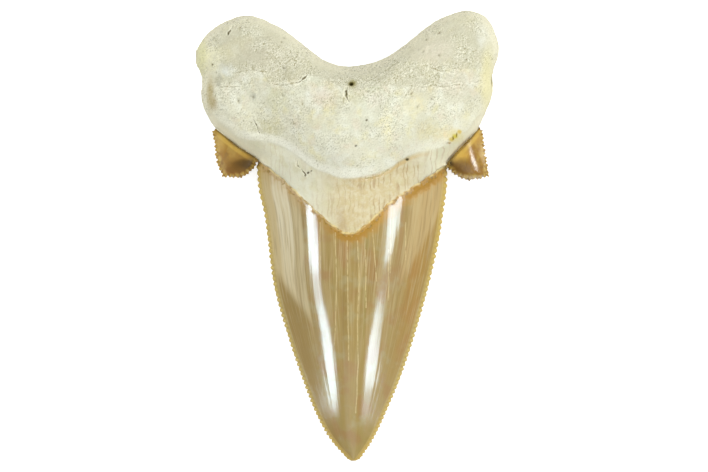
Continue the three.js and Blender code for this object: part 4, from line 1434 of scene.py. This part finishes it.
def make_cusplet(name, outline, rises, tree):
    """A small blade on a toothed outline, highest along a ridge that runs down to its apex."""
    outline = np.array(outline)
    plain = (np.roll(outline, 1, axis=0) + 2 * outline + np.roll(outline, -1, axis=0)) / 4
    plain[CUSPLET_APEX] = mix(plain[CUSPLET_APEX], outline[CUSPLET_APEX], 0.8)
    centre = outline.mean(axis=0) + CUSPLET_MIDDLE_SHIFT
    places = np.arange(0, len(outline), 1 / CUSPLET_POINTS_PER_SPAN)
    toothed = closed_spline(mix(plain, outline, CUSPLET_COARSE_TEETH), places)
    smooth = closed_spline(plain, places)
    scales = np.sin(np.linspace(math.pi / 2, 0.12, CUSPLET_RINGS))
    scales = np.concatenate([scales[::-1], scales[1:]])[:, None]
    is_top = (np.arange(len(scales)) < CUSPLET_RINGS)[:, None]
    flat = mix(toothed, smooth, ramp(1 - scales, 0, CUSPLET_TEETH_FADE)[..., None])
    flat = mix(centre, flat, scales[..., None])
    x, y = flat[..., 0], flat[..., 1]
    outer = distance_to_line(x, y, plain[:CUSPLET_APEX + 1])
    inner = distance_to_line(x, y, plain[CUSPLET_APEX:-CUSPLET_HIDDEN_POINTS])
    up = -smooth_max(-edge_rise(outer, rises[0]), -edge_rise(inner, rises[1]), rises[2])
    under_root = ramp(y - np.interp(x, *LOWER_EDGE_AT_CUSPLETS), 0.0, 0.4)
    top = CUSPLET_EDGE_Z + np.where(scales < 1, np.maximum(up, 0), 0) - CUSPLET_SINK * under_root
    bottom = mix(CUSPLET_LABIAL_Z, CUSPLET_EDGE_Z, scales ** CUSPLET_LABIAL_ARCH)
    z = np.where(is_top, top, bottom)
    top_cap, bottom_cap = [[*centre, float(top[0].mean())]], [[*centre, CUSPLET_LABIAL_Z]]
    piece = loft(name, np.stack([x, y, z], axis=-1), top_cap, bottom_cap, AMBER)
    along = np.roll(smooth, -1, axis=0) - np.roll(smooth, 1, axis=0)
    count = np.cumsum(np.linalg.norm(along, axis=1)) / 2 / CUSPLET_PITCH
    side = np.sign(signed_area(outline))
    inside = np.minimum(outer, inner) * (scales < 1)
    store_edge(piece, count, inside, side * along[:, 1], -side * along[:, 0], is_top)
    grow(piece, tree, CUSPLET_SERRATIONS)
    return piece


def make_foramen():
    """A tapered pit, sunk at a slant into the middle of the root."""
    mesh = bpy.data.meshes.new("foramen")
    form = bmesh.new()
    bmesh.ops.create_cone(form, cap_ends=True, segments=24, depth=2 * FORAMEN_DEPTH,
                          radius1=FORAMEN_END_RADIUS, radius2=2 * FORAMEN_RADIUS - FORAMEN_END_RADIUS)
    place = np.array(FORAMEN)
    surface = float(root_top(*place, distance_to_rim(*place)))
    form.transform(Matrix.Translation((*FORAMEN, surface)) @ Matrix.Rotation(-FORAMEN_TILT, 4, "X"))
    form.to_mesh(mesh)
    form.free()
    return new_piece(mesh, BONE)


def fuse(piece, other, operation):
    """Joins another closed mesh to the piece or cuts it away, and drops the other one."""
    modifier = piece.modifiers.new(operation, "BOOLEAN")
    modifier.operation = operation
    modifier.solver = "MANIFOLD"
    modifier.object = other
    keep_as_mesh(piece)
    bpy.data.objects.remove(other)


def damage_depth(x, y):
    """How deep the cracks and the single pits of the root go at each point."""
    crack = np.minimum.reduce([distance_to_line(x, y, line) for line in ROOT_CRACKS])
    depth = CRACK_DEPTH * ramp(crack, CRACK_WIDTH, 0)
    for pit_x, pit_y, radius in ROOT_PITS:
        depth = np.maximum(depth, radius * ramp(np.hypot(x - pit_x, y - pit_y), 1.5 * radius, 0))
    return depth


def speckled(x, y):
    """1 in the middle of the places full of specks, falling off to 0 around them."""
    reach = [np.hypot((x - spot_x) / half_width, (y - spot_y) / half_height)
             for spot_x, spot_y, half_width, half_height in SPECKLED_PLACES]
    return ramp(np.minimum.reduce(reach), 1.25, 0.2)


def bone_points(piece):
    """1 for each point with only root faces around it and 0 for the others."""
    mesh = piece.data
    corners = np.empty(len(mesh.loops), dtype=np.int32)
    mesh.loops.foreach_get("vertex_index", corners)
    sizes, numbers = np.empty((2, len(mesh.polygons)), dtype=np.int32)
    mesh.polygons.foreach_get("loop_total", sizes)
    mesh.polygons.foreach_get("material_index", numbers)
    bone = np.ones(len(mesh.vertices))
    bone[corners[np.repeat(numbers, sizes) != BONE]] = 0
    return bone


def edge_measures(x, y, cusp, across):
    """Distance to the nearest cutting edge, and how many small teeth along that edge it is."""
    rows = serration_rows()[::-1]
    in_cusplet = (y > CUSPLETS_FROM_Y) & (np.abs(across) > 1.02)
    left, right = (nearest_on_line(x, y, line[1:-CUSPLET_HIDDEN_POINTS])[:2]
                   for line in (LEFT_CUSPLET, RIGHT_CUSPLET))
    cusplet_edge, cusplet_along = np.where(x < 0, left, right)
    cusp_edge = (1 - np.abs(across)) * cusp["half"]
    edge = np.where(in_cusplet, cusplet_edge, np.where(y < SERRATION_START_Y + 1, cusp_edge, FAR_OFF))
    count = np.where(in_cusplet, cusplet_along / CUSPLET_PITCH, np.interp(y, rows[:, 0], rows[:, 1]))
    return edge, count


def store_places(piece):
    """Keeps for each point how far it is from the edges and lines that the finishes follow."""
    x, y, z = points_of(piece).T
    cusp = cusp_section(y)
    across = (x - cusp["middle"]) / cusp["half"]
    labial_line = LABIAL_ENAMEL_Y + LABIAL_ENAMEL_RISE * np.minimum(np.abs(across), 1) ** 2
    rim = distance_to_rim(x, y)
    sunk = root_top(x, y, rim) - z
    in_root = y > np.interp(x, ENAMEL_LINE[:, 0], ENAMEL_LINE[:, 1]) - 0.02
    is_top = z > np.where(in_root, root_body(x, y) * RIM_SHARE, cusp["edge"]) - 0.01
    band = np.where(is_top, y - band_curve(x), np.abs(y - labial_line) + LABIAL_BONE_MARGIN)
    by_cusplets = is_top & (y < LOBES_FROM_Y)
    band = np.minimum(band, np.where(by_cusplets, rim - SMOOTH_MARGIN, 99))
    edge, count = edge_measures(x, y, cusp, across)
    near_foramen = np.hypot(x - FORAMEN[0], y - FORAMEN[1]) < FORAMEN_REACH
    chevron = np.where(is_top, distance_to_line(x, y, ENAMEL_LINE), np.abs(y - labial_line))
    over_grey_line = y - np.interp(x, *np.transpose(GREY_LINE))
    measures = {
        "across": across,
        "edge_mm": edge,
        "tooth_count": count,
        "chevron_mm": chevron,
        "rim_mm": rim,
        "band_mm": band,
        "grey_mm": np.where(is_top, over_grey_line, -FAR_OFF),
        "hole_mm": np.where(near_foramen & is_top, sunk, 0),
        "roughness": ramp(band, -0.25, 0.35) * mix(0.45, 1, ramp(y, 17, 24)),
        "damage": np.where(is_top & (sunk < 0.3), damage_depth(x, y), 0),
        "speckled": np.where(is_top, speckled(x, y) * mix(0.3, 1, ramp(band, 0.5, 4)), 0),
        "bone": bone_points(piece),
        "upper_face": is_top,
        "to_seam": np.where(is_top[:, None], way_to_lines(x, y, ROOT_SEAMS), FAR_OFF),
        "to_crack": np.where(is_top[:, None], way_to_lines(x, y, ROOT_CRACKS), FAR_OFF),
    }
    for name, values in measures.items():
        store(piece, name, values)


def make_tooth():
    """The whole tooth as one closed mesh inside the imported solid's box, with a finish on every face."""
    serrations = serration_tree()
    tooth = make_main_cusp(serrations)
    fuse(tooth, make_root(), "UNION")
    fuse(tooth, make_cusplet("left_cusplet", LEFT_CUSPLET, LEFT_RISES, serrations), "UNION")
    fuse(tooth, make_cusplet("right_cusplet", RIGHT_CUSPLET, RIGHT_RISES, serrations), "UNION")
    fuse(tooth, make_foramen(), "DIFFERENCE")
    store_places(tooth)
    grow(tooth, weathering_tree(), WEATHERING)
    low, high = (np.array(corner) / MM for corner in CAD_BOX)
    points = np.clip(points_of(tooth), low, high) * MM
    tooth.data.vertices.foreach_set("co", points.ravel())
    tooth.name = tooth.data.name = "fossil_tooth"
    tooth.data.polygons.foreach_set("use_smooth", np.ones(len(tooth.data.polygons), dtype=bool))
    tooth.data.set_sharp_from_angle(angle=math.radians(SHARP_ANGLE))
    tooth.data.update()
    return tooth


# Camera: the photograph is 708 pixels wide at this many millimetres for each pixel, measured at the height
# of the tooth's outline. The middle of the picture is a little to the right of the tooth's.
MM_PER_PIXEL = 0.1665
IMAGE_WIDTH = 708
OUTLINE_HEIGHT = 3.2
CAMERA_X = 1.1
LENS = 180
SENSOR = 36

# The floor, in metres: its width, and how far it lies under the tooth.
FLOOR_WIDTH = 3
FLOOR_GAP = 0.0002
FLOOR_GLOW = 0.6


def place_camera():
    """A long lens straight above the tooth, with the root at the top of the picture."""
    camera = bpy.data.objects.new("camera", bpy.data.cameras.new("camera"))
    bpy.context.scene.collection.objects.link(camera)
    camera.data.lens = LENS
    camera.data.sensor_width = SENSOR
    camera.data.clip_start = 0.01
    distance = IMAGE_WIDTH * MM_PER_PIXEL * MM * LENS / SENSOR
    camera.location = (CAMERA_X * MM, 0, distance + OUTLINE_HEIGHT * MM)
    bpy.context.scene.camera = camera


def place_floor():
    """A glowing white acrylic sheet, so that the background stays plain white."""
    bpy.ops.mesh.primitive_plane_add(size=FLOOR_WIDTH, location=(0, 0, -FLOOR_GAP))
    floor = bpy.context.object
    floor.name = "floor"
    material, _, shader, _ = new_material("white_acrylic_sheet", 0.9)
    shader.inputs["Base Color"].default_value = linear("#F3F3F3")
    shader.inputs["Specular IOR Level"].default_value = 0
    shader.inputs["Emission Color"].default_value = linear("#FFFFFF")
    shader.inputs["Emission Strength"].default_value = FLOOR_GLOW
    floor.data.materials.append(material)
    floor.visible_diffuse = False


# Studio lights: name, shape, direction to it as azimuth and elevation in degrees, shift along Y and size
# in metres, and the brightness of its face. The strips and ovals at each side make the two long
# highlights, which have a gap where one light ends and the next begins.
LIGHT_DISTANCE = 0.45
LIGHTS = [
    ("left_strip", "RECTANGLE", 180, 35.3, 0.025, (0.047, 0.55), 9),
    ("left_oval", "ELLIPSE", 180, 36.0, -0.095, (0.07, 0.06), 9),
    ("left_low_oval", "ELLIPSE", 180, 36.8, -0.203, (0.07, 0.05), 9.5),
    ("right_oval", "ELLIPSE", 0, 38.5, -0.05, (0.1, 0.204), 12),
    ("right_low_oval", "ELLIPSE", 0, 37.5, -0.209, (0.085, 0.062), 15),
    ("right_strip", "RECTANGLE", 0, 38, 0.16, (0.12, 0.2), 9),
    ("front_panel", "RECTANGLE", -90, 45, 0.0, (0.3, 0.5), 0.8),
    ("back_panel", "RECTANGLE", 90, 45, 0.0, (0.3, 0.5), 2.0),
]
LIGHT_COLOUR = "#F9FDFF"
WORLD_BRIGHTNESS = 0.32


def place_lights():
    """Softboxes at both sides, a panel at the tip and one at the root, and white walls around."""
    for name, shape, azimuth, elevation, shift, (across, along), brightness in LIGHTS:
        turn, tilt = math.radians(azimuth), math.radians(elevation)
        toward = Vector((math.cos(turn) * math.cos(tilt), math.sin(turn) * math.cos(tilt), math.sin(tilt)))
        level = Vector((-math.sin(turn), math.cos(turn), 0))
        light = bpy.data.lights.new(name, "AREA")
        light.shape = shape
        light.size, light.size_y = across, along
        area = across * along * (math.pi / 4 if shape == "ELLIPSE" else 1)
        light.energy = brightness * math.pi * area
        light.color = linear(LIGHT_COLOUR)[:3]
        lamp = bpy.data.objects.new(name, light)
        bpy.context.scene.collection.objects.link(lamp)
        lamp.location = toward * LIGHT_DISTANCE + Vector((0, shift, 0))
        lamp.rotation_euler = Matrix((level.cross(toward), level, toward)).transposed().to_euler()
    world = bpy.data.worlds.new("white_walls")
    bpy.context.scene.world = world
    world.use_nodes = True
    background = world.node_tree.nodes["Background"]
    background.inputs["Color"].default_value = linear("#FFFFFF")
    background.inputs["Strength"].default_value = WORLD_BRIGHTNESS


tooth = make_tooth()
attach(tooth, "root")
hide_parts("shark_tooth")
place_floor()
place_camera()
place_lights()
bpy.context.scene.view_settings.view_transform = "Standard"
